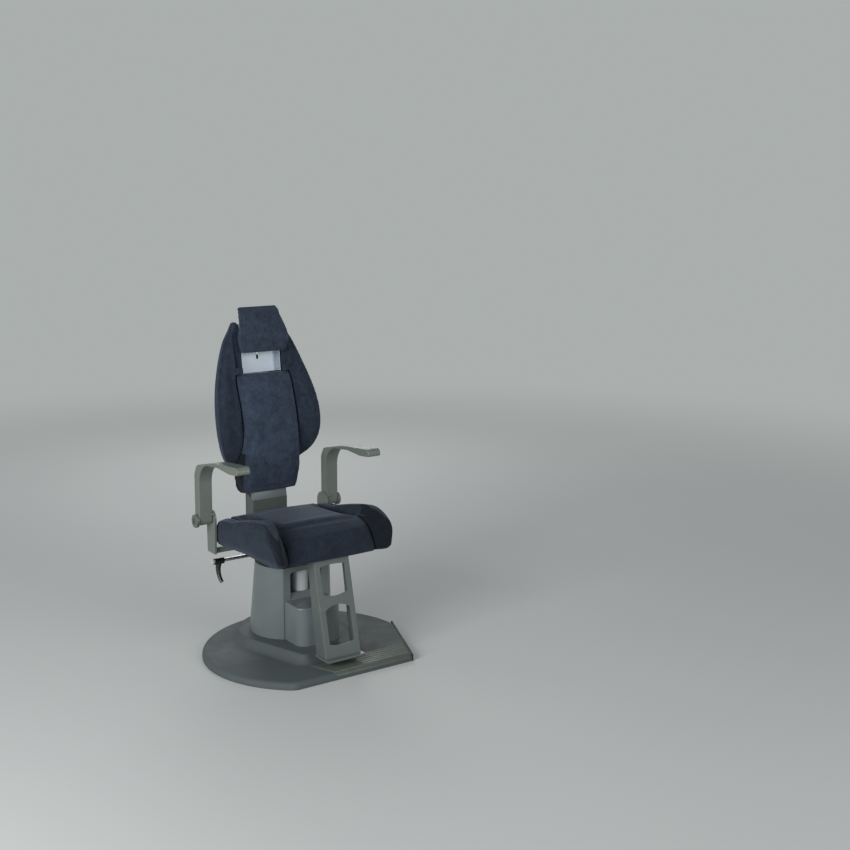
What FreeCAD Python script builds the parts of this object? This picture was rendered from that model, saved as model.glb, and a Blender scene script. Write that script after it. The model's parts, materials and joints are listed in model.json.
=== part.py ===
import FreeCAD, Part
import math
import os

# Ophthalmic examination chair. Millimetres, +Z up. The chair faces -Y and the sitter's right is -X.
# The origin is on the floor, at the centre of the round base.

V = FreeCAD.Vector
ALONG_X = V(1, 0, 0)
ALONG_Y = V(0, 1, 0)
ALONG_Z = V(0, 0, 1)

# Fits and cutting allowances that many pieces share
overrun = 2.0
cutting_reach = 2000.0
tiny = 0.01
running_gap = 0.05
soft_gap = 0.4
slide_gap = 0.3

# Base casting: a disc with a straight front, and a straight seam on the sitter's left
base_rear_margin = 28.0
base_thickness = 26.0
base_edge_round = 18.0
base_corner_round = 60.0
seam_inset = 40.0
seam_angle = 21.3
base_rim_width = 24.0
base_web = 10.0
base_hub_radius = 55.0
base_rib_width = 10.0
base_rib_pairs = 3
seam_strip_width = 6.0
seam_strip_lift = 2.0

# Plinth cast on the base, narrower towards the front
plinth_height = 34.0
plinth_ledge = 47.0
plinth_apron = 68.0
plinth_front_half_width = 127.0
plinth_corner_radius = 26.0
plinth_flare = 36.0
plinth_edge_round = 5.0
flare_height_shares = (0.0, 0.28, 1.0)
flare_growth_shares = (1.0, 0.36, 0.0)

# Ribbed tread plate on the base
tread_gap = 5.0
tread_depth = 98.0
tread_back_left = 114.0
tread_front_left = 73.0
tread_margin = 9.0
tread_thickness = 3.0
tread_rib_height = 2.2
tread_rib_width = 5.0
tread_rib_pitch = 10.5

# Pedestal cover: a slanted cone with a flat front and a recess for the lift cylinder
pedestal_centre_inset = 32.0
pedestal_margin = 14.0
pedestal_taper = 15.0
pedestal_front = 10.0
pedestal_clearance = 12.0
pedestal_wall = 5.0
pedestal_rim = 14.0
recess_half_width = 70.0
recess_head = 20.0
recess_round = 12.0
shelf_rise = 24.0
shelf_slope_depth = 16.0

# Housing of the pump set, in front of the pedestal
housing_side_step = 5.0
housing_depth = 123.0
housing_height = 154.0
housing_corner = 45.0
housing_wall = 4.0
housing_edge_round = 7.0

# Telescopic guide column behind the lift cylinder
column_gap = 13.0
column_size = 124.0
column_wall = 6.0
column_flange = 172.0
column_flange_thickness = 10.0
column_bolt_spacing = 148.0
column_bolt_radius = 9.0
column_bolt_height = 6.0
liner_height = 40.0
inner_column_size = 104.0
inner_column_wall = 5.0
inner_column_foot = 12.0
stop_pad_radius = 9.0
stop_pad_height = 14.0
stop_pad_spacing = 100.0

# Hydraulic lift cylinder and its piston
lift_gap = 12.0
cylinder_radius = 35.0
cylinder_bore = 22.0
cylinder_clearance = 24.0
cylinder_foot = 16.0
gland_wall = 9.0
gland_height = 9.0
gland_edge_round = 1.0

# Pump set
pump_radius = 34.0
pump_length = 130.0
pump_offset = 55.0
pump_cradle_height = 14.0
pump_cradle_length = 90.0
pump_cradle_depth = 44.0
tank_length = 62.0
tank_depth = 46.0
tank_height = 34.0
pipe_radius = 4.0
pipe_drop = 20.0
pipe_hole_gap = 2.0
control_box_length = 120.0
control_box_depth = 20.0
control_box_height = 46.0
control_box_margin = 3.0

# Carriage on top of the moving column
carriage_thickness = 8.0
carriage_front_margin = 17.0
carriage_rear_margin = 28.0
wedge_foot = 6.0
wedge_width = 28.0

# Seat plane: tilted up at the front, its rear lower edge is the reference
seat_tilt = 4.1
seat_rear_reach = 148.0
seat_rear_height = 395.0
seat_length = 532.0
board_thickness = 9.0
board_inset = 30.0
frame_tube_height = 18.0
frame_tube_width = 30.0
frame_half_width = 150.0
frame_front_inset = 74.0
frame_middle_share = 0.5
crossbar_depth = 40.0
crossbar_height = 24.0
crossbar_gap = 10.0
crossbar_drop = 29.0

# Seat cushion and side bolsters
cushion_half_width = 192.0
cushion_height = 106.0
cushion_crown = 9.0
cushion_rear_inset = 28.0
cushion_nose = 15.0
cushion_side_draw = 3.0
bolster_foot = 44.0
bolster_bulge = 27.0
bolster_height = 155.0
bolster_crown = 15.0
bolster_nose = 46.0

# Arm supports and folding arms
arm_plate_thickness = 8.0
arm_plate_margin = 18.0
arm_plate_radius = 38.0
arm_plate_foot_half = 34.0
arm_axis_inset = 4.0
arm_axis_rise = 112.0
arm_side_gap = 1.0
arm_width = 58.0
arm_post_depth = 41.0
arm_height = 281.0
arm_reach = 359.0
arm_rise = 53.0
arm_shoulder_drop = 91.0
arm_shoulder_round = 30.0
arm_bow_reach = 150.0
arm_bow_drop = 19.0
arm_nose_round = 20.0
arm_tip_band = 31.0
arm_lip_round = 8.0
arm_belly_setback = 70.0
arm_belly_band = 38.0
arm_waist_setback = 170.0
arm_waist_band = 31.0
arm_wave_round = 80.0
arm_knee_drop = 49.0
arm_knee_round = 88.0
arm_edge_round = 4.0
arm_pin_radius = 10.0
arm_bush_wall = 3.0
arm_cap_radius = 27.0
arm_cap_height = 13.0
arm_cap_dish = 11.0
arm_cap_dish_depth = 5.0
arm_cap_round = 3.0
arm_stop_radius = 5.0
arm_stop_rise = 23.0
arm_stop_length = 14.0

# Recline hinge, its brake and the clamp lever
recline_setback = 27.0
recline_rise = 45.0
recline_pin_radius = 8.0
recline_lug_radius = 18.0
recline_lug_gap = 4.0
recline_lug_thickness = 10.0
sleeve_radius = 15.0
sleeve_half_length = 32.0
collar_wall = 8.0
collar_half_width = 8.0
clamp_inset = 7.0
clamp_drop = 36.0
clamp_cheek_width = 30.0
clamp_block_front = 13.0
clamp_block_floor = 16.0
clamp_cam_radius = 11.0
clamp_cam_offset = 1.5
clamp_web = 5.0
lever_shaft_radius = 7.0
lever_margin = 22.0
hub_radius = 13.0
hub_length = 44.0
hub_edge_round = 3.0
handle_length = 86.0
handle_width = 15.0
handle_thickness = 9.0
handle_sweep = 34.0
handle_knee_share = 0.55
handle_bend_share = 0.25
lever_cap_radius = 10.0
lever_cap_length = 10.0
lever_cap_round = 2.5

# Footrest frame that hangs from the front of the seat frame
footrest_half_width = 78.0
footrest_wall = 4.0
footrest_top_depth = 50.0
footrest_foot_depth = 74.0
footrest_foot_gap = 21.0
footrest_foot_z = 62.0
footrest_stile = 24.0
footrest_flange = 22.0
upper_window_height = 124.0
upper_window_sag = 11.0
upper_window_rise = 4.0
middle_rail = 32.0
lower_window_rise = 17.0
bottom_rail = 50.0
lower_window_sag = 8.0
lip_overhang = 6.0
lip_reach = 24.0
lip_thickness = 10.0
lip_round = 3.0

# Back: a plane that leans back from the foot of the back cushion
back_lean = 7.3
back_front_inset = 34.0
back_foot_rise = 197.0
back_cushion_height = 487.0
back_cushion_half_width = 129.0
back_cushion_rise = 109.0
back_cushion_crown = 8.0
back_board_setback = 60.0
back_side_draw = 3.0
back_board_thickness = 10.0
back_board_foot = 6.0
back_board_foot_inset = 21.0
back_cover_depth = 36.0
back_cover_wall = 3.5
back_cover_draft = 24.0
wing_rise = 92.0
wing_crown = 11.0
wing_flare_share = 0.33
wing_gap = 5.0
wing_corner_rise = 8.0
wing_side_draw = 1.0
wing_side_bulge = 3.0
leaf_foot = 112.0
leaf_height = 600.0
wing_width = 71.0
leaf_board_inset = 10.0
leaf_notch_gap = 4.0
leaf_notch_drop = 17.0
cover_notch_rise = 14.0

# Spine bracket that carries the back
bracket_half_width = 78.0
bracket_wall = 5.0
bracket_front_depth = 47.0
bracket_foot_rise = 30.0
bracket_crease_rise = 162.0
bracket_ear_radius = 22.0
bracket_step_angle = 21.3
spine_half_width = 50.0
spine_height = 250.0
spine_root = 22.0
spine_thickness = 6.0

# Headrest channel, carrier and clamp knob
channel_half_width = 88.0
channel_wall = 2.5
channel_front = 8.0
channel_depth = 35.0
channel_rise = 2.0
channel_height = 203.0
channel_tab = 88.0
channel_tab_half = 60.0
slot_half_width = 4.6
slot_rise = 59.0
slot_length = 134.0
carrier_gap = 0.4
carrier_wall = 2.5
carrier_rise = 99.0
carrier_height = 100.0
stud_radius = 3.9
stud_rise = 116.0
knob_radius = 17.0
knob_depth = 20.0
knob_lobes = 6
knob_lobe_radius = 7.0
knob_collar = 5.0
headrest_half_width = 108.0
headrest_gap = 89.0
headrest_height = 184.0
headrest_depth = 33.0
headrest_crown = 6.0
headrest_side_draw = 2.0
headrest_board_thickness = 8.0
headrest_board_inset = 17.0
headrest_board_height = 72.0
headrest_setback = 70.0

# Forms of the upholstery, as shares of the sizes above, from one end of each pad to the other
seat_along_shares = (0.0, 0.012, 0.035, 0.08, 0.16, 0.3, 0.5, 0.7, 0.84, 0.92, 0.965, 0.988, 1.0)
seat_low_shares = (0.34, 0.14, 0.03, 0.0, 0.0, 0.0, 0.0, 0.0, 0.0, 0.0, 0.03, 0.13, 0.30)
seat_high_shares = (0.60, 0.80, 0.92, 0.98, 1.0, 0.995, 0.985, 0.99, 1.0, 0.985, 0.93, 0.80, 0.62)
seat_crown_shares = (0.2, 0.5, 0.75, 0.92, 1.0, 1.0, 1.0, 1.0, 1.0, 0.92, 0.75, 0.5, 0.2)
bolster_along_shares = (0.0, 0.02, 0.055, 0.11, 0.2, 0.36, 0.55, 0.72, 0.83, 0.9, 0.95, 0.985, 1.0)
bolster_low_shares = (0.12, 0.03, 0.0, 0.0, 0.0, 0.0, 0.0, 0.0, 0.0, 0.02, 0.09, 0.25, 0.38)
bolster_high_shares = (0.28, 0.37, 0.43, 0.49, 0.58, 0.725, 0.83, 0.89, 0.905, 0.88, 0.8, 0.63, 0.5)
bolster_bulge_shares = (0.2, 0.35, 0.46, 0.57, 0.7, 0.88, 1.0, 1.0, 1.0, 0.9, 0.7, 0.4, 0.2)
back_along_shares = (0.0, 0.012, 0.036, 0.085, 0.18, 0.33, 0.5, 0.67, 0.82, 0.915, 0.964, 0.988, 1.0)
back_width_shares = (0.9, 0.925, 0.95, 0.98, 1.0, 0.965, 0.935, 0.945, 0.955, 0.957, 0.955, 0.945, 0.93)
back_low_shares = (0.18, 0.07, 0.01, 0.0, 0.0, 0.0, 0.0, 0.0, 0.0, 0.0, 0.01, 0.07, 0.18)
back_high_shares = (0.42, 0.475, 0.52, 0.58, 0.73, 0.91, 1.0, 0.915, 0.79, 0.69, 0.61, 0.53, 0.42)
leaf_along_shares = (0.0, 0.03, 0.083, 0.17, 0.28, 0.41, 0.54, 0.66, 0.77, 0.86, 0.925, 0.97, 1.0)
leaf_reach_shares = (0.5, 0.7, 0.86, 0.955, 1.0, 0.995, 0.94, 0.82, 0.66, 0.48, 0.33, 0.22, 0.13)
wing_high_shares = (0.16, 0.3, 0.61, 0.9, 0.99, 0.91, 0.73, 0.57, 0.49, 0.45, 0.4, 0.33, 0.22)
board_top_share = 0.86
cover_top_share = 0.77
head_along_shares = (0.0, 0.04, 0.17, 0.35, 0.5, 0.62, 0.74, 0.86, 0.95, 1.0)
head_width_shares = (0.88, 0.925, 0.965, 0.98, 0.95, 0.91, 0.86, 0.82, 0.8, 0.74)
head_low_shares = (0.2, 0.03, 0.0, 0.0, 0.0, -0.07, -0.58, -0.92, -1.06, -0.93)
head_high_shares = (0.6, 0.82, 1.0, 0.95, 0.66, 0.32, -0.07, -0.41, -0.62, -0.76)

# Heights and places that follow from the sizes above

def seat_height_at(y):
    return seat_rear_height + (seat_rear - y) * math.tan(tilt)


tilt = math.radians(seat_tilt)
seam_turn = math.radians(seam_angle)
plinth_top = base_thickness + plinth_height
housing_top = plinth_top + housing_height
shelf_top = housing_top + shelf_rise

# From the pedestal's flat front back through the lift cylinder and the column to the seat's rear edge
lift_centre = pedestal_front + pedestal_wall + lift_gap + cylinder_radius
column_centre = lift_centre + cylinder_radius + column_gap + column_size / 2
column_rear = column_centre + column_size / 2
carriage_front = lift_centre - cylinder_radius - carriage_front_margin
carriage_rear = column_rear + carriage_rear_margin
seat_rear = column_centre + seat_rear_reach

# The pedestal goes round the column's flange, the plinth round the pedestal and the disc round both
pedestal_centre = column_centre - pedestal_centre_inset
flange_corner = V(column_flange / 2, pedestal_centre_inset + column_flange / 2, 0)
pedestal_foot_radius = flange_corner.Length + pedestal_margin + pedestal_wall
pedestal_top_radius = pedestal_foot_radius - pedestal_taper
flat_half_width = math.sqrt(pedestal_foot_radius ** 2 - (pedestal_centre - pedestal_front) ** 2)
pedestal_top_centre = pedestal_front + math.sqrt(pedestal_top_radius ** 2 - flat_half_width ** 2)
housing_half_width = flat_half_width - housing_side_step
housing_front = pedestal_front - housing_depth
plinth_rear_radius = pedestal_foot_radius + plinth_ledge
plinth_front = plinth_apron - housing_front
base_radius = pedestal_centre + plinth_rear_radius + plinth_flare + base_rear_margin
tread_back = plinth_front + plinth_flare + tread_gap
base_front = tread_back + tread_depth + base_edge_round
seam_distance = base_radius - seam_inset
SEAM_NORMAL = V(math.cos(seam_turn), -math.sin(seam_turn), 0)
SEAM_LINE = V(math.sin(seam_turn), math.cos(seam_turn), 0)
SEAM_BACK = SEAM_NORMAL * seam_distance + SEAM_LINE * math.sqrt(base_radius ** 2 - seam_distance ** 2)
SEAM_FRONT = V((seam_distance - base_front * math.sin(seam_turn)) / math.cos(seam_turn), -base_front, 0)
FRONT_LEFT = V(-math.sqrt(base_radius ** 2 - base_front ** 2), -base_front, 0)

# Heights under the seat
frame_depth = board_thickness + frame_tube_height
carriage_rise = (seat_rear - carriage_rear) * math.tan(tilt)
carriage_top = seat_rear_height + carriage_rise - frame_depth / math.cos(tilt) - wedge_foot
carriage_bottom = carriage_top - carriage_thickness
pedestal_top = carriage_bottom - pedestal_clearance
column_top = carriage_bottom - slide_gap - stop_pad_height
cylinder_top = carriage_bottom - cylinder_clearance

# Recline hinge, crossbar, arms and clamp lever, all carried at the seat's rear
recline_y = seat_rear + recline_setback
recline_z = seat_rear_height + recline_rise
crossbar_back = recline_y - crossbar_gap
crossbar_front = crossbar_back - crossbar_depth
crossbar_bottom = seat_rear_height - crossbar_drop
crossbar_top = crossbar_bottom + crossbar_height
clamp_y = crossbar_front + clamp_inset
clamp_z = crossbar_bottom - clamp_drop
bolster_outer = cushion_half_width + bolster_foot
lever_shaft_reach = bolster_outer + lever_margin
arm_plate_inner = bolster_outer + arm_plate_margin
arm_axis_y = seat_rear - arm_axis_inset
arm_axis_z = seat_rear_height + arm_axis_rise
arm_inner = arm_plate_inner + arm_plate_thickness + arm_side_gap
arm_outer = arm_inner + arm_width
lug_outer = bracket_half_width - bracket_wall - recline_lug_gap
lug_inner = lug_outer - recline_lug_thickness

# The footrest frame runs from the seat frame's front down to a foot just before the plinth
frame_front = frame_front_inset - seat_length
footrest_back = seat_rear + frame_front * math.cos(tilt) - frame_depth * math.sin(tilt)
footrest_top = seat_height_at(footrest_back) - board_thickness / math.cos(tilt)
footrest_front_top = footrest_back - footrest_top_depth
footrest_back_foot = -plinth_front - footrest_foot_gap
footrest_front_foot = footrest_back_foot - footrest_foot_depth

# Back and headrest
bracket_front_y = recline_y - bracket_front_depth
bracket_crease_z = seat_rear_height + bracket_crease_rise
back_front_y = seat_rear - back_front_inset
back_foot_z = seat_rear_height + back_foot_rise
board_rear = back_board_setback + back_board_thickness
back_board_foot_half = back_cushion_half_width - back_board_foot_inset
leaf_half_width = back_cushion_half_width + wing_width
channel_foot = back_cushion_height + channel_rise
channel_web = channel_front + channel_depth
notch_half_width = channel_half_width + leaf_notch_gap
headrest_foot_z = back_foot_z + back_cushion_height + headrest_gap
headrest_rear_y = back_front_y + headrest_setback
SEAT_PLACE = FreeCAD.Placement(V(0, seat_rear, seat_rear_height), FreeCAD.Rotation(ALONG_X, -seat_tilt))
BACK_PLACE = FreeCAD.Placement(V(0, back_front_y, back_foot_z), FreeCAD.Rotation(ALONG_X, -back_lean))


# Small solids and edge picking

def box(x0, x1, y0, y1, z0, z1):
    return Part.makeBox(x1 - x0, y1 - y0, z1 - z0, V(x0, y0, z0))


def rod_x(radius, x0, x1, y, z):
    return Part.makeCylinder(radius, x1 - x0, V(x0, y, z), ALONG_X)


def rod_y(radius, y0, y1, x, z):
    return Part.makeCylinder(radius, y1 - y0, V(x, y0, z), ALONG_Y)


def rod_z(radius, z0, z1, x, y):
    return Part.makeCylinder(radius, z1 - z0, V(x, y, z0), ALONG_Z)


def line(start, end):
    return Part.LineSegment(start, end).toShape()


def arc(start, middle, end):
    return Part.Arc(start, middle, end).toShape()


def face_of(points):
    return Part.Face(Part.makePolygon(points + [points[0]]))


def slab_x(outline, x0, x1):
    return face_of([V(x0, y, z) for y, z in outline]).extrude(V(x1 - x0, 0, 0))


def slab_z(outline, z0, z1):
    return face_of([V(x, y, z0) for x, y in outline]).extrude(V(0, 0, z1 - z0))


def outline_wire(corners, to_point):
    """Closed wire through corners given as (u, v, radius), each rounded by an arc tangent to its sides."""
    count = len(corners)
    bends = []
    for index in range(count):
        here = V(corners[index][0], corners[index][1], 0)
        before = V(corners[index - 1][0], corners[index - 1][1], 0).sub(here).normalize()
        after = V(corners[(index + 1) % count][0], corners[(index + 1) % count][1], 0).sub(here).normalize()
        radius = corners[index][2]
        half_angle = before.getAngle(after) / 2
        reach = radius / math.tan(half_angle)
        middle = here + (before + after).normalize() * (radius / math.sin(half_angle) - radius)
        bends.append([here + before * reach, middle, here + after * reach])
    placed = [[to_point(point.x, point.y) for point in bend] for bend in bends]
    edges = []
    for index in range(count):
        if corners[index][2]:
            edges.append(arc(*placed[index]))
        start = placed[index][2]
        end = placed[(index + 1) % count][0]
        if start.distanceToPoint(end) > tiny:
            edges.append(line(start, end))
    return Part.Wire(edges)


def mirrored(shape):
    return shape.mirror(V(0, 0, 0), ALONG_X)


def both_sides(shape):
    return Part.makeCompound([shape, mirrored(shape)])


def on_seat(shape):
    placed = shape.copy()
    placed.Placement = SEAT_PLACE.multiply(shape.Placement)
    return placed


def on_back(shape):
    placed = shape.copy()
    placed.Placement = BACK_PLACE.multiply(shape.Placement)
    return placed


def is_straight_along(edge, direction):
    start = edge.Vertexes[0].Point
    end = edge.Vertexes[-1].Point
    span = end.sub(start)
    return span.Length > tiny and span.cross(direction).Length < tiny * span.Length


def is_level(edge, z):
    return abs(edge.BoundBox.ZMin - z) < tiny and abs(edge.BoundBox.ZMax - z) < tiny


def rounded(shape, radius, choose):
    return shape.makeFillet(radius, [edge for edge in shape.Edges if choose(edge)])


def pillow(sections, to_point):
    """Loft of a pad. Each section: place, (left, right), (low, high), crown, (left, right) side bulge."""
    wires = []
    for along, (left, right), (low, high), crown, (bulge_left, bulge_right) in sections:
        middle = (low + high) / 2
        corners = [to_point(left, along, low), to_point(right, along, low)]
        corners += [to_point(right, along, high), to_point(left, along, high)]
        wires.append(Part.Wire([
            line(corners[0], corners[1]),
            arc(corners[1], to_point(right + bulge_right, along, middle), corners[2]),
            arc(corners[2], to_point((left + right) / 2, along, high + crown), corners[3]),
            arc(corners[3], to_point(left - bulge_left, along, middle), corners[0]),
        ]))
    return Part.makeLoft(wires, True, False)


# Base

def base_casting():
    first = math.atan2(SEAM_BACK.y, SEAM_BACK.x)
    last = math.atan2(FRONT_LEFT.y, FRONT_LEFT.x) + 2 * math.pi
    middle = (first + last) / 2
    rear = V(math.cos(middle), math.sin(middle), 0) * base_radius
    wire = Part.Wire([arc(SEAM_BACK, rear, FRONT_LEFT), line(FRONT_LEFT, SEAM_FRONT),
                      line(SEAM_FRONT, SEAM_BACK)])
    disc = Part.Face(wire).extrude(V(0, 0, base_thickness))

    def is_front_left(edge):
        near = abs(edge.Vertexes[0].Point.x - FRONT_LEFT.x) < tiny
        return near and is_straight_along(edge, ALONG_Z)

    def is_top_rim(edge):
        middle_point = edge.valueAt((edge.FirstParameter + edge.LastParameter) / 2)
        on_seam = abs(middle_point.dot(SEAM_NORMAL) - seam_distance) < tiny
        return is_level(edge, base_thickness) and not on_seam

    disc = rounded(disc, base_corner_round, is_front_left)
    disc = rounded(disc, base_edge_round, is_top_rim)
    growths = [plinth_flare * share for share in flare_growth_shares]
    heights = [base_thickness + plinth_height * share for share in flare_height_shares]
    plinth = Part.makeLoft([plinth_wire(growth, height) for growth, height in zip(growths, heights)],
                           True, False)
    plinth = rounded(plinth, plinth_edge_round, lambda edge: is_level(edge, plinth_top))
    return disc.fuse(plinth).removeSplitter().cut(base_pockets())


def base_pockets():
    """Hollows under the casting: one in the disc and one in the plinth, with a hub and ribs left between."""
    low = -overrun
    disc = rod_z(base_radius - base_rim_width, low, base_thickness - base_web, 0, 0)
    front = base_rim_width - base_front
    disc = disc.common(box(-base_radius, base_radius, front, base_radius, low, base_thickness))
    seam = box(-2 * base_radius, seam_distance - base_rim_width, -2 * base_radius, 2 * base_radius,
               low, base_thickness)
    seam.rotate(V(0, 0, 0), ALONG_Z, -seam_angle)
    plinth = Part.Face(plinth_wire(-base_rib_width, low)).extrude(V(0, 0, plinth_top - base_web - low))
    pockets = disc.common(seam).fuse(plinth)
    half = base_rib_width / 2
    for index in range(base_rib_pairs):
        rib = box(-base_radius, base_radius, -half, half, low, plinth_top)
        rib.rotate(V(0, 0, 0), ALONG_Z, math.degrees(math.pi * index / base_rib_pairs))
        pockets = pockets.cut(rib)
    return pockets.cut(rod_z(base_hub_radius, low, plinth_top, 0, 0))


def plinth_wire(growth, z):
    """Outline of the plinth, grown outwards: a rear circle, two front corners and tangents."""
    rear_radius = plinth_rear_radius + growth
    corner_radius = plinth_corner_radius + growth
    rear_centre = V(0, pedestal_centre, z)
    corner = V(plinth_front_half_width - plinth_corner_radius, plinth_corner_radius - plinth_front, z)
    step = corner.sub(rear_centre)
    heading = math.atan2(step.y, step.x)
    angle = heading + math.acos((rear_radius - corner_radius) / step.Length)
    side = V(math.cos(angle), math.sin(angle), 0)
    rear_side = rear_centre + side * rear_radius
    front_side = corner + side * corner_radius
    front = corner + V(0, -corner_radius, 0)
    between = (angle - math.pi / 2) / 2
    bend = corner + V(math.cos(between), math.sin(between), 0) * corner_radius
    quarter = (angle + math.pi / 2) / 2
    shoulder = rear_centre + V(math.cos(quarter), math.sin(quarter), 0) * rear_radius
    back = rear_centre + V(0, rear_radius, 0)

    def flip(point):
        return V(-point.x, point.y, point.z)

    return Part.Wire([
        arc(rear_side, shoulder, back), arc(back, flip(shoulder), flip(rear_side)),
        line(flip(rear_side), flip(front_side)), arc(flip(front_side), flip(bend), flip(front)),
        line(flip(front), front), arc(front, bend, front_side), line(front_side, rear_side)])


def tread_plate():
    front_y = base_edge_round - base_front

    def seam_x(y):
        return (seam_distance - tread_margin + y * math.sin(seam_turn)) / math.cos(seam_turn)

    outline = [(-tread_back_left, -tread_back), (-tread_front_left, front_y),
               (seam_x(front_y), front_y), (seam_x(-tread_back), -tread_back)]
    top = base_thickness + tread_thickness
    plate = slab_z(outline, base_thickness, top)
    field = slab_z(outline, top - overrun, top + tread_rib_height)
    depth = -tread_back - front_y
    count = int(depth / tread_rib_pitch)
    margin = (depth - (count - 1) * tread_rib_pitch - tread_rib_width) / 2
    for index in range(count):
        rib_y = front_y + margin + index * tread_rib_pitch
        rib = box(-base_radius, base_radius, rib_y, rib_y + tread_rib_width, top, top + tread_rib_height)
        plate = plate.fuse(rib.common(field))
    return plate.removeSplitter()


def seam_strip():
    out = SEAM_NORMAL * seam_strip_width
    corners = [SEAM_FRONT, SEAM_FRONT + out, SEAM_BACK + out, SEAM_BACK]
    return slab_z([(point.x, point.y) for point in corners], 0, base_thickness + seam_strip_lift)


def pedestal_body(shrink):
    """Solid of the pedestal, moved inwards by one wall where it is used to hollow the cover."""
    reach = overrun if shrink else 0
    wires = []
    for z, y, radius in ((plinth_top, pedestal_centre, pedestal_foot_radius),
                         (pedestal_top, pedestal_top_centre, pedestal_top_radius)):
        wires.append(Part.Wire(Part.makeCircle(radius - shrink, V(0, y, z), ALONG_Z)))
    cone = Part.makeLoft(wires, True, True)
    front = pedestal_front + shrink
    size = pedestal_foot_radius + overrun
    return cone.cut(box(-size, size, -size, front, plinth_top - reach, pedestal_top + reach))


def pedestal_cover():
    cover = pedestal_body(0).cut(pedestal_body(pedestal_wall))
    rim = pedestal_body(0).common(
        box(-base_radius, base_radius, 0, base_radius, pedestal_top - pedestal_wall, pedestal_top))
    opening = pedestal_body(pedestal_rim)
    cover = cover.fuse(rim.cut(opening))
    recess = box(-recess_half_width, recess_half_width, pedestal_front - overrun,
                 pedestal_front + pedestal_wall + overrun, housing_top, pedestal_top - recess_head)
    recess = rounded(recess, recess_round, lambda edge: is_straight_along(edge, ALONG_Y)
                     and edge.BoundBox.ZMin > shelf_top)
    cover = cover.cut(recess)
    shelf_back = column_rear - column_size - slide_gap
    slope_end = pedestal_front + shelf_slope_depth
    shelf = slab_x([
        (pedestal_front, housing_top - pedestal_wall), (pedestal_front, housing_top),
        (slope_end, shelf_top), (shelf_back, shelf_top), (shelf_back, shelf_top - pedestal_wall),
        (slope_end + pedestal_wall, shelf_top - pedestal_wall),
        (pedestal_front + pedestal_wall, housing_top - pedestal_wall)], -base_radius, base_radius)
    shelf = shelf.common(pedestal_body(0))
    shelf = shelf.cut(rod_z(cylinder_radius + slide_gap, plinth_top, pedestal_top, 0, lift_centre))
    cover = cover.fuse(shelf)
    pipe_z = plinth_top + pump_cradle_height + pipe_drop
    cover = cover.cut(rod_y(pipe_radius + pipe_hole_gap, pedestal_front - overrun,
                            pedestal_front + pedestal_wall + overrun, 0, pipe_z))
    return cover.removeSplitter()


def housing_outline(shrink):
    half = housing_half_width - shrink
    front = housing_front + shrink
    corner = housing_corner - shrink
    return outline_wire([(-half, pedestal_front, 0), (-half, front, corner), (half, front, corner),
                         (half, pedestal_front, 0)], lambda x, y: V(x, y, 0))


def front_housing():
    outer = Part.Face(housing_outline(0)).extrude(V(0, 0, housing_height))
    outer = rounded(outer, housing_edge_round, lambda edge: is_level(edge, housing_height)
                    and edge.BoundBox.YMin < pedestal_front - tiny)
    inner = Part.Face(housing_outline(housing_wall)).extrude(V(0, 0, housing_height - housing_wall + overrun))
    inner.translate(V(0, 0, -overrun))
    shell = outer.cut(inner)
    shell.translate(V(0, 0, plinth_top))
    return shell


def square_tube(size, wall, z0, z1):
    half = size / 2
    tube = box(-half, half, column_centre - half, column_centre + half, z0, z1)
    if wall:
        inside = half - wall
        hollow = box(-inside, inside, column_centre - inside, column_centre + inside,
                     z0 - overrun, z1 + overrun)
        tube = tube.cut(hollow)
    return tube


def column_outer():
    flange = square_tube(column_flange, 0, plinth_top, plinth_top + column_flange_thickness)
    bore = square_tube(column_size - 2 * column_wall, 0, plinth_top, plinth_top + column_flange_thickness)
    tube = square_tube(column_size, column_wall, plinth_top + column_flange_thickness, column_top)
    notch = rod_z(cylinder_radius + slide_gap, plinth_top, cylinder_top, 0, lift_centre)
    return tube.fuse(flange.cut(bore).cut(notch)).removeSplitter()


def column_liner():
    size = column_size - 2 * column_wall
    wall = (size - inner_column_size) / 2 - running_gap
    return square_tube(size, wall, column_top - liner_height, column_top)


def column_bolts():
    half = column_bolt_spacing / 2
    z0 = plinth_top + column_flange_thickness
    heads = [rod_z(column_bolt_radius, z0, z0 + column_bolt_height, x, column_centre + y)
             for x in (-half, half) for y in (-half, half)]
    return Part.makeCompound(heads)


def stop_pads():
    half = stop_pad_spacing / 2
    inset = (column_size - column_wall) / 2
    pads = []
    for x, y in ((-half, -inset), (half, -inset), (-half, inset), (half, inset)):
        pads.append(rod_z(stop_pad_radius, column_top, column_top + stop_pad_height, x, column_centre + y))
    blocks = [pad.common(square_tube(column_size, column_wall, column_top, carriage_bottom)) for pad in pads]
    return Part.makeCompound(blocks)


def lift_cylinder():
    body = rod_z(cylinder_radius, plinth_top, cylinder_top, 0, lift_centre)
    return body.cut(rod_z(cylinder_bore, plinth_top + cylinder_foot, cylinder_top + overrun, 0, lift_centre))


def cylinder_gland():
    ring = rod_z(cylinder_bore + gland_wall, cylinder_top, cylinder_top + gland_height, 0, lift_centre)
    ring = rounded(ring, gland_edge_round, lambda edge: is_level(edge, cylinder_top + gland_height))
    return ring.cut(rod_z(cylinder_bore, cylinder_top - overrun, cylinder_top + gland_height + overrun,
                          0, lift_centre))


def pump_barrel():
    y = pedestal_front - pump_offset
    z = plinth_top + pump_cradle_height + pump_radius
    return rod_x(pump_radius, -pump_length / 2, pump_length / 2, y, z)


def pump_motor():
    barrel = pump_barrel()
    y = pedestal_front - pump_offset
    z = plinth_top + pump_cradle_height + pump_radius
    cradle = box(-pump_cradle_length / 2, pump_cradle_length / 2, y - pump_cradle_depth / 2,
                 y + pump_cradle_depth / 2, plinth_top, z)
    return barrel.fuse(cradle).removeSplitter()


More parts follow.
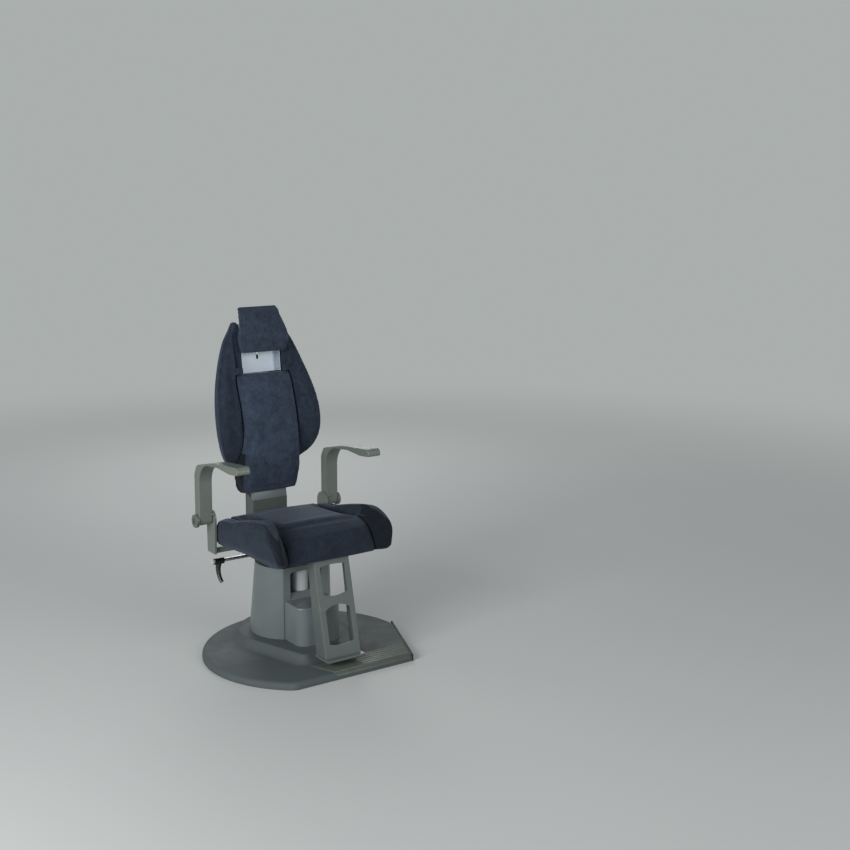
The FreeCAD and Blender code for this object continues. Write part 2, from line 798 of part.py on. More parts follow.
def pump_tank():
    y = pedestal_front - pump_offset
    z = plinth_top + pump_cradle_height + pump_radius
    tank = box(-tank_length / 2, tank_length / 2, y - tank_depth / 2, y + tank_depth / 2,
               z, z + pump_radius + tank_height)
    return tank.cut(pump_barrel()).cut(pump_motor())


def pressure_pipe():
    y = pedestal_front - pump_offset
    z = plinth_top + pump_cradle_height + pipe_drop
    pipe = rod_y(pipe_radius, y, lift_centre, 0, z)
    return pipe.cut(pump_motor()).cut(rod_z(cylinder_radius, plinth_top, cylinder_top, 0, lift_centre))


def control_box():
    y0 = housing_front + housing_wall + control_box_margin
    half = control_box_length / 2
    return box(-half, half, y0, y0 + control_box_depth, plinth_top, plinth_top + control_box_height)


# Moving column, carriage and seat frame

def column_inner():
    return square_tube(inner_column_size, inner_column_wall, plinth_top + inner_column_foot, carriage_bottom)


def column_shoe():
    size = column_size - 2 * column_wall - 2 * running_gap
    z0 = plinth_top + inner_column_foot
    return square_tube(size, (size - inner_column_size) / 2, z0, z0 + liner_height)


def lift_piston():
    return rod_z(cylinder_bore - running_gap, plinth_top + cylinder_foot, carriage_bottom, 0, lift_centre)


def carriage_plate():
    return box(-frame_half_width, frame_half_width, carriage_front, carriage_rear,
               carriage_bottom, carriage_top)


def below_frame():
    """Everything under the lower face of the tilted seat frame, as one large block."""
    size = cutting_reach
    return on_seat(box(-size, size, -size, size, -size, -frame_depth))


def wedge_rails():
    top = seat_height_at(carriage_front)
    rail = box(frame_half_width - wedge_width, frame_half_width, carriage_front, carriage_rear,
               carriage_top, top)
    return both_sides(rail.common(below_frame()))


def crossbar_block():
    return box(-arm_plate_inner, arm_plate_inner, crossbar_front, crossbar_back,
               crossbar_bottom, crossbar_top)


def seat_frame():
    rail = box(frame_half_width - frame_tube_width, frame_half_width, frame_front, 0,
               -frame_depth, -board_thickness)
    frame = rail.fuse(mirrored(rail))
    for start in (frame_front, frame_front * frame_middle_share):
        frame = frame.fuse(box(-frame_half_width, frame_half_width, start, start + frame_tube_width,
                               -frame_depth, -board_thickness))
    frame = on_seat(frame.removeSplitter())
    return frame.cut(box(-cutting_reach, cutting_reach, crossbar_front, cutting_reach, 0, cutting_reach))


def seat_board():
    half = bolster_outer - board_inset
    return on_seat(box(-half, half, board_inset - seat_length, -board_inset, -board_thickness, 0))


def seat_point(across, along, up):
    return V(across, -along, up)


def above_board(shape):
    size = cutting_reach
    return shape.cut(box(-size, size, -size, size, -size, 0))


def seat_cushion():
    span = seat_length - cushion_rear_inset + cushion_nose
    sections = []
    for along, low, high, crown in zip(seat_along_shares, seat_low_shares, seat_high_shares,
                                       seat_crown_shares):
        sections.append((cushion_rear_inset + span * along, (-cushion_half_width, cushion_half_width),
                         (cushion_height * low, cushion_height * high), cushion_crown * crown,
                         (-cushion_side_draw, -cushion_side_draw)))
    return on_seat(above_board(pillow(sections, seat_point)))


def bolster():
    span = seat_length + bolster_nose
    inner = cushion_half_width + soft_gap
    sections = []
    for along, low, high, bulge in zip(bolster_along_shares, bolster_low_shares, bolster_high_shares,
                                       bolster_bulge_shares):
        sections.append((span * along, (inner, bolster_outer), (bolster_height * low, bolster_height * high),
                         bolster_crown, (-cushion_side_draw, bolster_bulge * bulge)))
    return on_seat(above_board(pillow(sections, seat_point)))


# Arm supports, recline hinge, brake and lever

def arm_plate():
    foot_z = crossbar_bottom
    half = arm_plate_foot_half
    outer = arm_plate_inner + arm_plate_thickness
    foot = [(arm_axis_y - half, foot_z), (arm_axis_y + half, foot_z),
            (arm_axis_y + arm_plate_radius, arm_axis_z), (arm_axis_y - arm_plate_radius, arm_axis_z)]
    plate = slab_x(foot, arm_plate_inner, outer)
    plate = plate.fuse(rod_x(arm_plate_radius, arm_plate_inner, outer, arm_axis_y, arm_axis_z))
    stop_y = arm_axis_y - arm_post_depth / 2 - arm_stop_radius - slide_gap
    stop = rod_x(arm_stop_radius, outer, outer + arm_stop_length, stop_y, arm_axis_z + arm_stop_rise)
    return plate.fuse(stop)


def recline_lug():
    lug = slab_x([
        (crossbar_front, crossbar_top), (crossbar_back, crossbar_bottom),
        (recline_y + recline_lug_radius, recline_z), (recline_y - recline_lug_radius, recline_z)],
        lug_inner, lug_outer)
    lug = lug.fuse(rod_x(recline_lug_radius, lug_inner, lug_outer, recline_y, recline_z))
    return lug.cut(rod_x(recline_pin_radius, lug_inner - overrun, lug_outer + overrun, recline_y, recline_z))


def arm_yoke():
    yoke = crossbar_block()
    for piece in (arm_plate(), recline_lug()):
        yoke = yoke.fuse(piece).fuse(mirrored(piece))
    return yoke.removeSplitter()


def arm_pins():
    start = arm_plate_inner + arm_plate_thickness
    return both_sides(rod_x(arm_pin_radius, start, arm_outer, arm_axis_y, arm_axis_z))


def recline_pin():
    return rod_x(recline_pin_radius, -bracket_half_width, bracket_half_width, recline_y, recline_z)


def brake_collar():
    outer = sleeve_radius + running_gap + collar_wall
    ring = rod_x(outer, -collar_half_width, collar_half_width, recline_y, recline_z)
    link = box(-collar_half_width, collar_half_width, crossbar_back, recline_y + outer / 2,
               clamp_z, recline_z)
    collar = ring.fuse(link).cut(rod_x(sleeve_radius + running_gap, -collar_half_width - overrun,
                                       collar_half_width + overrun, recline_y, recline_z))
    return collar.removeSplitter()


def clamp_block():
    front = clamp_y - clamp_block_front
    outer = sleeve_radius + running_gap + collar_wall
    back = recline_y + outer / 2
    floor = clamp_z - clamp_block_floor
    cheek = box(collar_half_width, collar_half_width + clamp_cheek_width, front, back, floor, crossbar_bottom)
    block = cheek.fuse(mirrored(cheek))
    block = block.fuse(box(-collar_half_width, collar_half_width, front, back, floor - clamp_web, floor))
    for side in (cheek, mirrored(cheek)):
        foot = side.BoundBox
        block = block.fuse(box(foot.XMin, foot.XMax, front, back, floor - clamp_web, floor))
    reach = collar_half_width + clamp_cheek_width + overrun
    block = block.cut(rod_x(lever_shaft_radius + running_gap, -reach, reach, clamp_y, clamp_z))
    return block.removeSplitter()


def lever_shaft():
    inner = collar_half_width + clamp_cheek_width
    return rod_x(lever_shaft_radius, -lever_shaft_reach, inner, clamp_y, clamp_z)


def clamp_cam():
    cam = rod_x(clamp_cam_radius, running_gap - collar_half_width, collar_half_width - running_gap,
                clamp_y, clamp_z + clamp_cam_offset)
    return cam.cut(lever_shaft())


def lever_hub():
    start = -lever_shaft_reach
    hub = rod_x(hub_radius, start, start + hub_length, clamp_y, clamp_z)
    hub = rounded(hub, hub_edge_round, lambda edge: edge.BoundBox.XMax - edge.BoundBox.XMin < tiny)
    return hub.cut(rod_x(lever_shaft_radius, start - overrun, start + hub_length + overrun, clamp_y, clamp_z))


def lever_handle():
    x0 = hub_length / 2 - lever_shaft_reach - handle_width / 2
    x1 = x0 + handle_width
    half = handle_thickness / 2
    foot_z = clamp_z - handle_length
    knee_z = clamp_z - handle_length * handle_knee_share
    foot_y = clamp_y - handle_sweep
    knee_y = clamp_y - handle_sweep * handle_bend_share

    def strip(shift):
        return V(x0, clamp_y + shift, clamp_z), V(x0, knee_y + shift, knee_z), V(x0, foot_y + shift, foot_z)

    front = strip(-half)
    rear = strip(half)
    low = V(x0, foot_y, foot_z - half)
    wire = Part.Wire([arc(front[0], front[1], front[2]), arc(front[2], low, rear[2]),
                      arc(rear[2], rear[1], rear[0]), line(rear[0], front[0])])
    handle = Part.Face(wire).extrude(V(x1 - x0, 0, 0))
    return handle.cut(rod_x(hub_radius, x0 - overrun, x1 + overrun, clamp_y, clamp_z))


def lever_cap():
    start = -lever_shaft_reach - lever_cap_length
    cap = rod_x(lever_cap_radius, start, -lever_shaft_reach, clamp_y, clamp_z)
    return rounded(cap, lever_cap_round, lambda edge: abs(edge.BoundBox.XMax - start) < tiny)


# Folding arms

def arm_body():
    """The sitter's left arm: a post that rises from the pivot and a pad that runs forwards."""
    half = arm_post_depth / 2
    rear = arm_axis_y + half
    front = arm_axis_y - half
    tip = arm_axis_y - arm_reach
    top = arm_axis_z + arm_height
    wire = outline_wire([
        (front, arm_axis_z - half, half),
        (rear, arm_axis_z - half, half),
        (rear, top - arm_shoulder_drop, arm_shoulder_round),
        (arm_axis_y, top - arm_rise, arm_shoulder_round),
        (arm_axis_y - arm_bow_reach, top - arm_bow_drop, arm_reach),
        (tip, top, arm_nose_round),
        (tip, top - arm_tip_band, arm_lip_round),
        (tip + arm_belly_setback, top - arm_belly_band, arm_wave_round),
        (tip + arm_waist_setback, top - arm_waist_band, arm_wave_round),
        (front, top - arm_knee_drop, arm_knee_round),
    ], lambda y, z: V(arm_inner, y, z))
    body = Part.Face(wire).extrude(V(arm_width, 0, 0))
    body = rounded(body, arm_edge_round, lambda edge: edge.BoundBox.XMax - edge.BoundBox.XMin < tiny)
    bore = arm_pin_radius + running_gap + arm_bush_wall
    return body.cut(rod_x(bore, arm_inner - overrun, arm_outer + overrun, arm_axis_y, arm_axis_z))


def arm_bush():
    outer = arm_pin_radius + running_gap + arm_bush_wall
    bush = rod_x(outer, arm_inner, arm_outer, arm_axis_y, arm_axis_z)
    return bush.cut(rod_x(arm_pin_radius + running_gap, arm_inner - overrun, arm_outer + overrun,
                          arm_axis_y, arm_axis_z))


def arm_cap():
    cap = rod_x(arm_cap_radius, arm_outer, arm_outer + arm_cap_height, arm_axis_y, arm_axis_z)
    end = arm_outer + arm_cap_height
    cap = rounded(cap, arm_cap_round, lambda edge: abs(edge.BoundBox.XMin - end) < tiny)
    return cap.cut(rod_x(arm_cap_dish, end - arm_cap_dish_depth, end + overrun, arm_axis_y, arm_axis_z))


# Footrest frame

def footrest_side(shrink):
    """Side outline of the footrest frame, as (y, z) points, moved back and up to hollow it."""
    slope = (footrest_front_top - footrest_front_foot) / (footrest_top - footrest_foot_z)
    rise = footrest_top_depth
    return [(footrest_front_top + shrink + slope * rise, footrest_top + rise),
            (footrest_front_foot + shrink, footrest_foot_z + shrink),
            (footrest_back_foot + shrink, footrest_foot_z + shrink),
            (footrest_back + shrink, footrest_top + shrink),
            (footrest_back + shrink, footrest_top + rise)]


def window_cutter(foot, sag, head, rise):
    """Opening between two stiles, from a sagging sill up to a rising head, cut straight through."""
    half = footrest_half_width - footrest_stile
    start = footrest_front_foot - overrun
    corners = [V(-half, start, foot), V(half, start, foot), V(half, start, head), V(-half, start, head)]
    wire = Part.Wire([arc(corners[0], V(0, start, foot - sag), corners[1]), line(corners[1], corners[2]),
                      arc(corners[2], V(0, start, head + rise), corners[3]), line(corners[3], corners[0])])
    return Part.Face(wire).extrude(V(0, footrest_back - start + overrun, 0))


def footrest_frame():
    outer = slab_x(footrest_side(0), -footrest_half_width, footrest_half_width)
    outer = rounded(outer, footrest_wall, is_front_upright)
    inside = footrest_half_width - footrest_wall
    frame = outer.cut(slab_x(footrest_side(footrest_wall), -inside, inside))
    upper_sill = footrest_top - upper_window_height
    upper = window_cutter(upper_sill, upper_window_sag, footrest_top - footrest_flange, upper_window_rise)
    head = upper_sill - upper_window_sag - middle_rail - lower_window_rise
    lower = window_cutter(footrest_foot_z + bottom_rail, lower_window_sag, head, lower_window_rise)
    frame = frame.cut(upper.fuse(lower))
    flange = on_seat(box(-inside, inside, frame_front - footrest_wall, frame_front,
                         -board_thickness - footrest_flange, -board_thickness))
    above = on_seat(box(-cutting_reach, cutting_reach, -cutting_reach, cutting_reach,
                        -board_thickness, cutting_reach))
    return frame.fuse(flange).cut(above).removeSplitter()


def is_front_upright(edge):
    ends = [vertex.Point for vertex in edge.Vertexes]
    steep = abs(ends[0].z - ends[-1].z) > footrest_flange
    return steep and min(point.y for point in ends) < footrest_front_foot + tiny


def footrest_lip():
    half = footrest_half_width + lip_overhang
    top = footrest_foot_z
    lip = box(-half, half, footrest_front_foot - lip_reach, footrest_back_foot, top - lip_thickness, top)
    return rounded(lip, lip_round, lambda edge: is_level(edge, top) or is_level(edge, top - lip_thickness))


# Back

def back_bracket():
    slope = math.tan(math.radians(bracket_step_angle))
    rear = recline_y + bracket_ear_radius
    crease = bracket_crease_z
    foot = recline_z + bracket_foot_rise
    outline = [(bracket_front_y, foot), (bracket_front_y, crease),
               (rear, crease + (rear - bracket_front_y) * slope), (rear, recline_z),
               (recline_y - bracket_ear_radius, recline_z)]
    body = slab_x(outline, -bracket_half_width, bracket_half_width)
    body = body.fuse(rod_x(bracket_ear_radius, -bracket_half_width, bracket_half_width, recline_y, recline_z))
    inside = bracket_half_width - bracket_wall
    inner_crease = crease - bracket_wall
    reach = rear + overrun
    low = recline_z - bracket_ear_radius - overrun
    hollow = slab_x([(bracket_front_y + bracket_wall, low), (bracket_front_y + bracket_wall, inner_crease),
                     (reach, inner_crease + (reach - bracket_front_y - bracket_wall) * slope),
                     (reach, low)], -inside, inside)
    body = body.cut(hollow)
    spine = on_back(box(-spine_half_width, spine_half_width, board_rear, board_rear + spine_thickness,
                        -spine_root, spine_height))
    body = body.fuse(spine)
    gusset = slab_x([(bracket_front_y + bracket_wall / 2, foot), (bracket_front_y + bracket_wall / 2,
                      foot + bracket_foot_rise), (recline_y, recline_z + bracket_foot_rise),
                     (recline_y, recline_z)], collar_half_width + slide_gap,
                    collar_half_width + slide_gap + bracket_wall)
    body = body.fuse(gusset).fuse(mirrored(gusset))
    body = body.cut(rod_x(sleeve_radius, -sleeve_half_length, sleeve_half_length, recline_y, recline_z))
    bore = recline_pin_radius + running_gap
    return body.cut(rod_x(bore, -cutting_reach, cutting_reach, recline_y, recline_z)).removeSplitter()


def recline_sleeve():
    sleeve = rod_x(sleeve_radius, -sleeve_half_length, sleeve_half_length, recline_y, recline_z)
    bore = recline_pin_radius + running_gap
    return sleeve.cut(rod_x(bore, -cutting_reach, cutting_reach, recline_y, recline_z))


def leaf_half_at(reach):
    return notch_half_width + (leaf_half_width - notch_half_width) * reach


def leaf_wire(inset, depth, notch_foot, top_share):
    """Leaf outline of the back with its neck at the foot and a notch for the headrest channel."""
    right = []
    squeeze = 1 - 2 * inset / (leaf_height * top_share)
    for along, reach in zip(leaf_along_shares, leaf_reach_shares):
        if along <= top_share:
            right.append(V(leaf_half_at(reach) - inset, depth,
                           leaf_foot + inset + leaf_height * along * squeeze))
    left = [V(-point.x, point.y, point.z) for point in right]
    top = right[-1].z
    low = right[0].z
    notch = notch_half_width + inset - leaf_board_inset
    neck = back_board_foot_half - inset + leaf_board_inset
    foot = back_board_foot + inset - leaf_board_inset

    def spline(points):
        curve = Part.BSplineCurve()
        curve.interpolate(points)
        return curve.toShape()

    return Part.Wire([
        line(V(-neck, depth, foot), V(neck, depth, foot)), line(V(neck, depth, foot), V(neck, depth, low)),
        line(V(neck, depth, low), right[0]), spline(right),
        line(right[-1], V(notch, depth, top)), line(V(notch, depth, top), V(notch, depth, notch_foot)),
        line(V(notch, depth, notch_foot), V(-notch, depth, notch_foot)),
        line(V(-notch, depth, notch_foot), V(-notch, depth, top)), line(V(-notch, depth, top), left[-1]),
        spline(left[::-1]), line(left[0], V(-neck, depth, low)),
        line(V(-neck, depth, low), V(-neck, depth, foot))])


def back_board():
    wire = leaf_wire(leaf_board_inset, back_board_setback, back_cushion_height - leaf_notch_drop,
                     board_top_share)
    return on_back(Part.Face(wire).extrude(V(0, back_board_thickness, 0)))


def back_cover():
    notch_foot = back_cushion_height + cover_notch_rise
    inset = leaf_board_inset
    rear_inset = inset + back_cover_draft
    rear = board_rear + back_cover_depth
    wall = back_cover_wall
    outer = Part.makeLoft([leaf_wire(inset, board_rear, notch_foot, cover_top_share),
                           leaf_wire(rear_inset, rear, notch_foot, cover_top_share)], True, True)
    inner = Part.makeLoft([
        leaf_wire(inset + wall, board_rear - overrun, notch_foot - wall, cover_top_share),
        leaf_wire(rear_inset + wall, rear - wall, notch_foot - wall, cover_top_share)], True, True)
    cover = outer.cut(inner)
    passage = box(-spine_half_width - slide_gap, spine_half_width + slide_gap, board_rear - overrun,
                  board_rear + spine_thickness + slide_gap, -leaf_foot, leaf_foot)
    return on_back(cover.cut(passage))


def back_point(across, along, up):
    return V(across, back_board_setback - up, along)


def before_board(shape):
    size = cutting_reach
    return shape.cut(box(-size, size, back_board_setback, size, -size, size))


def back_cushion():
    sections = []
    for along, width, low, high in zip(back_along_shares, back_width_shares, back_low_shares,
                                       back_high_shares):
        half = back_cushion_half_width * width
        sections.append((back_cushion_height * along, (-half, half),
                         (back_cushion_rise * low, back_cushion_rise * high),
                         back_cushion_crown, (-back_side_draw, -back_side_draw)))
    return on_back(before_board(pillow(sections, back_point)))


def cushion_space():
    """Space of the back cushion and the gap round it, right through the depth of the wings."""
    rows = [(back_cushion_half_width * width + wing_gap, back_cushion_height * along)
            for along, width in zip(back_along_shares, back_width_shares)]
    rows.append((rows[-1][0], back_cushion_height + wing_corner_rise))
    right = [V(half, -cutting_reach, height) for half, height in rows]
    left = [V(-point.x, point.y, point.z) for point in right]
    return face_of(right + left[::-1]).extrude(V(0, cutting_reach + board_rear, 0))


def wing_point(across, along, up):
    flare = (across - notch_half_width) * wing_flare_share * up / wing_rise
    return back_point(across + flare, along, up)


def wing():
    sections = []
    for along, reach, high in zip(leaf_along_shares, leaf_reach_shares, wing_high_shares):
        sections.append((leaf_foot + leaf_height * along, (notch_half_width, leaf_half_at(reach)),
                         (0, wing_rise * high), wing_crown * high, (-wing_side_draw * high, wing_side_bulge)))
    return on_back(before_board(pillow(sections, wing_point)).cut(cushion_space()))


def headrest_channel():
    outer = box(-channel_half_width, channel_half_width, channel_front, channel_web,
                channel_foot, channel_foot + channel_height)
    inside = channel_half_width - channel_wall
    channel = outer.cut(box(-inside, inside, channel_front - overrun, channel_web - channel_wall,
                            channel_foot - overrun, channel_foot + channel_height + overrun))
    tab_rear = board_rear + channel_wall
    channel = channel.fuse(box(-channel_tab_half, channel_tab_half, channel_web - channel_wall, tab_rear,
                               channel_foot, channel_foot + channel_wall))
    channel = channel.fuse(box(-channel_tab_half, channel_tab_half, board_rear, tab_rear,
                               channel_foot - channel_tab, channel_foot + channel_wall))
    foot = channel_foot + slot_rise
    end = foot + slot_length
    slot = box(-slot_half_width, slot_half_width, channel_front, channel_web + overrun, foot, end)
    for height in (foot, end):
        slot = slot.fuse(rod_y(slot_half_width, channel_front, channel_web + overrun, 0, height))
    return on_back(channel.cut(slot).removeSplitter())


# Headrest

def headrest_point(across, along, up):
    return V(across, headrest_rear_y - up, along)


def headrest_cushion():
    sections = []
    for along, width, low, high in zip(head_along_shares, head_width_shares, head_low_shares,
                                       head_high_shares):
        half = headrest_half_width * width
        sections.append((headrest_foot_z + headrest_height * along, (-half, half),
                         (headrest_depth * low, headrest_depth * high), headrest_crown * width,
                         (-headrest_side_draw, -headrest_side_draw)))
    size = cutting_reach
    bend = headrest_foot_z + headrest_board_inset + headrest_board_height
    return pillow(sections, headrest_point).cut(box(-size, size, headrest_rear_y, size, -size, bend))


def headrest_board():
    half = headrest_half_width - headrest_board_inset
    z0 = headrest_foot_z + headrest_board_inset
    z1 = z0 + headrest_board_height
    board = box(-half, half, headrest_rear_y, headrest_rear_y + headrest_board_thickness, z0, z1)
    return rounded(board, headrest_board_inset, lambda edge: is_straight_along(edge, ALONG_Y))


def headrest_carrier():
    half = channel_half_width - channel_wall - carrier_gap
    web = channel_web - channel_wall - carrier_gap
    z0 = channel_foot + carrier_rise
    z1 = z0 + carrier_height
    reach = back_board_setback
    outer = box(-half, half, -reach, web, z0, z1)
    inside = half - carrier_wall
    carrier = outer.cut(box(-inside, inside, -reach - overrun, web - carrier_wall,
                            z0 - overrun, z1 + overrun))
    stud_z = channel_foot + stud_rise
    carrier = carrier.cut(rod_y(stud_radius + running_gap, 0, web + overrun, 0, stud_z))
    size = cutting_reach
    face = headrest_rear_y + headrest_board_thickness
    return on_back(carrier).cut(box(-size, size, -size, face, 0, size))


def knob_stud():
    web = channel_web - channel_wall - carrier_gap - carrier_wall
    return on_back(rod_y(stud_radius, web, channel_web + slide_gap + knob_depth / 2, 0,
                         channel_foot + stud_rise))


def headrest_knob():
    y0 = channel_web + slide_gap
    z = channel_foot + stud_rise
    knob = rod_y(knob_radius, y0, y0 + knob_depth, 0, z)
    for index in range(knob_lobes):
        angle = 2 * math.pi * index / knob_lobes
        knob = knob.fuse(rod_y(knob_lobe_radius, y0 + knob_collar, y0 + knob_depth,
                               knob_radius * math.cos(angle), z + knob_radius * math.sin(angle)))
    knob = knob.cut(rod_y(stud_radius, y0 - overrun, y0 + knob_depth / 2, 0, z))
    return on_back(knob.removeSplitter())


# Each sub-part in its own file

PARTS = {
    "base_casting": base_casting,
    "tread_plate": tread_plate,
    "seam_strip": seam_strip,
    "pedestal_cover": pedestal_cover,
    "front_housing": front_housing,
    "column_outer": column_outer,
    "column_liner": column_liner,
    "column_bolts": column_bolts,
    "stop_pads": stop_pads,
    "lift_cylinder": lift_cylinder,
    "cylinder_gland": cylinder_gland,
    "pump_motor": pump_motor,
    "pump_tank": pump_tank,
    "pressure_pipe": pressure_pipe,
    "control_box": control_box,
    "column_inner": column_inner,
    "column_shoe": column_shoe,
    "lift_piston": lift_piston,
    "carriage_plate": carriage_plate,
    "wedge_rails": wedge_rails,
    "seat_frame": seat_frame,
    "seat_board": seat_board,
    "seat_cushion": seat_cushion,
    "bolster_left": bolster,
    "bolster_right": lambda: mirrored(bolster()),
    "arm_yoke": arm_yoke,
    "arm_pins": arm_pins,
    "recline_pin": recline_pin,
    "brake_collar": brake_collar,
    "clamp_block": clamp_block,
    "lever_shaft": lever_shaft,
    "clamp_cam": clamp_cam,
    "lever_hub": lever_hub,
    "lever_handle": lever_handle,
    "lever_cap": lever_cap,
    "arm_left": arm_body,
    "arm_right": lambda: mirrored(arm_body()),
    "arm_bush_left": arm_bush,
    "arm_bush_right": lambda: mirrored(arm_bush()),
    "arm_cap_left": arm_cap,
    "arm_cap_right": lambda: mirrored(arm_cap()),
    "footrest_frame": footrest_frame,
    "footrest_lip": footrest_lip,
    "back_bracket": back_bracket,
    "recline_sleeve": recline_sleeve,
    "back_board": back_board,
    "back_cover": back_cover,
    "back_cushion": back_cushion,
    "wing_left": wing,
    "wing_right": lambda: mirrored(wing()),
    "headrest_channel": headrest_channel,
    "headrest_carrier": headrest_carrier,
    "headrest_board": headrest_board,
    "headrest_cushion": headrest_cushion,
    "knob_stud": knob_stud,
    "headrest_knob": headrest_knob,
}

os.makedirs("parts", exist_ok=True)
for name, make in PARTS.items():
    shape = make()
    shape.exportStep("parts/%s.step" % name)
    bounds = shape.BoundBox
    print("%-18s solids %d valid %s x %.1f %.1f y %.1f %.1f z %.1f %.1f" % (
        name, len(shape.Solids), shape.isValid(), bounds.XMin, bounds.XMax, bounds.YMin, bounds.YMax,
        bounds.ZMin, bounds.ZMax))
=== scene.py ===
import json
import math

import bpy
import numpy as np
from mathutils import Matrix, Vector
from mathutils.kdtree import KDTree

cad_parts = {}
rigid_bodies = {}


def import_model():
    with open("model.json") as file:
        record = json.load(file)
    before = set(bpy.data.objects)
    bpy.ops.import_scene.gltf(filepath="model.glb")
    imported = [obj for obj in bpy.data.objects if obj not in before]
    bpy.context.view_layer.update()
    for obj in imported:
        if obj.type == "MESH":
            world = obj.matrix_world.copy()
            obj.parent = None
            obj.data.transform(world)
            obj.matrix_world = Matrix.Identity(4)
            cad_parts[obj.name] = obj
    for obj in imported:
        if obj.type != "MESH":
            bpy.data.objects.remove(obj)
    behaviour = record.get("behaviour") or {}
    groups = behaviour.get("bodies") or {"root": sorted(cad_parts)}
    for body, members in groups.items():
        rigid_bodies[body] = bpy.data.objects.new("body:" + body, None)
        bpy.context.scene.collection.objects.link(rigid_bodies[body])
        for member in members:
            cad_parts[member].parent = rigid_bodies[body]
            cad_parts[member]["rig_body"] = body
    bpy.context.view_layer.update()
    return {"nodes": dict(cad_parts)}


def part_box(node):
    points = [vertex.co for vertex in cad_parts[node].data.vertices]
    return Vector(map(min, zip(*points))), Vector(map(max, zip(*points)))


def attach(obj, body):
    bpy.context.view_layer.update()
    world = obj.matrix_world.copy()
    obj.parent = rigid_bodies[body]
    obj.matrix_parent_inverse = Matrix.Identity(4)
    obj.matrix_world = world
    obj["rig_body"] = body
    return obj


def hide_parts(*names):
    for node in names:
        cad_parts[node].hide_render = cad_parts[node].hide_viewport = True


# Ophthalmic examination chair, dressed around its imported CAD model. Metres, +Z up, the chair faces -Y.

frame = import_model()
nodes = frame["nodes"]


# Camera: in front of the chair, on the sitter's right, a little above the headrest.
camera_data = bpy.data.cameras.new("photo_camera")
camera_data.lens = 55.06
camera_data.shift_y = -0.106
camera = bpy.data.objects.new("photo_camera", camera_data)
bpy.context.scene.collection.objects.link(camera)
camera.location = (-2.470, -4.366, 1.8825)
camera.rotation_euler = (math.radians(82.96), 0, math.radians(-34.84))
bpy.context.scene.camera = camera


# Floor and light: a plain pale studio floor that fades into a background of its own colour, a large soft lamp
# on the sitter's right, a weaker one in front and one behind.
def linear(red, green, blue):
    """A colour as it looks on screen, 0 to 255, as the linear colour that a shader takes."""
    shares = [value / 255 for value in (red, green, blue)]
    return [s / 12.92 if s <= 0.04045 else ((s + 0.055) / 1.055) ** 2.4 for s in shares] + [1.0]


def combine(tree, operation, first, second):
    """Two numbers, each a socket or a plain number, put together."""
    node = tree.nodes.new("ShaderNodeMath")
    node.operation = operation
    for socket, value in zip(node.inputs, (first, second)):
        if isinstance(value, (int, float)):
            socket.default_value = value
        else:
            tree.links.new(value, socket)
    return node.outputs["Value"]


def seen_share(tree):
    """1 for rays from the camera and for what metal and glass show, 0 for the light that falls on the object."""
    rays = tree.nodes.new("ShaderNodeLightPath").outputs
    mirrored = combine(tree, "MAXIMUM", rays["Is Glossy Ray"], rays["Is Transmission Ray"])
    return combine(tree, "MAXIMUM", rays["Is Camera Ray"], mirrored)


bpy.ops.object.select_all(action="DESELECT")
bpy.ops.mesh.primitive_plane_add(size=600)
floor = bpy.context.object
floor.name = "studio_floor"
floor_paint = bpy.data.materials.new("floor_paint")
floor_paint.use_nodes = True
floor_tree = floor_paint.node_tree
floor_skin = floor_tree.nodes["Principled BSDF"]
floor_skin.inputs["Roughness"].default_value = 0.85
floor_place = floor_tree.nodes.new("ShaderNodeTexCoord")
floor_cloud = floor_tree.nodes.new("ShaderNodeTexNoise")
floor_cloud.inputs["Scale"].default_value = 0.6
floor_tone = floor_tree.nodes.new("ShaderNodeValToRGB")
floor_tone.color_ramp.elements[0].color = linear(198, 201, 200)
floor_tone.color_ramp.elements[1].color = linear(206, 208, 206)
floor_tree.links.new(floor_place.outputs["Object"], floor_cloud.inputs["Vector"])
floor_tree.links.new(floor_cloud.outputs["Fac"], floor_tone.inputs["Fac"])
floor_tree.links.new(floor_tone.outputs["Color"], floor_skin.inputs["Base Color"])
floor.data.materials.append(floor_paint)
BACKDROP = linear(170, 175, 174)
FADE_START, FADE_END = 1.6, 7.0
floor_away = floor_tree.nodes.new("ShaderNodeVectorMath")
floor_away.operation = "LENGTH"
floor_tree.links.new(floor_place.outputs["Object"], floor_away.inputs[0])
floor_fade = floor_tree.nodes.new("ShaderNodeMapRange")
floor_fade.interpolation_type = "SMOOTHSTEP"
floor_fade.inputs["From Min"].default_value = FADE_START
floor_fade.inputs["From Max"].default_value = FADE_END
floor_glow = floor_tree.nodes.new("ShaderNodeEmission")
floor_glow.inputs["Color"].default_value = BACKDROP
floor_mix = floor_tree.nodes.new("ShaderNodeMixShader")
floor_tree.links.new(floor_away.outputs["Value"], floor_fade.inputs["Value"])
floor_seen = combine(floor_tree, "MULTIPLY", floor_fade.outputs["Result"], seen_share(floor_tree))
floor_tree.links.new(floor_seen, floor_mix.inputs["Fac"])
floor_tree.links.new(floor_skin.outputs["BSDF"], floor_mix.inputs[1])
floor_tree.links.new(floor_glow.outputs["Emission"], floor_mix.inputs[2])
floor_tree.links.new(floor_mix.outputs["Shader"], floor_tree.nodes["Material Output"].inputs["Surface"])

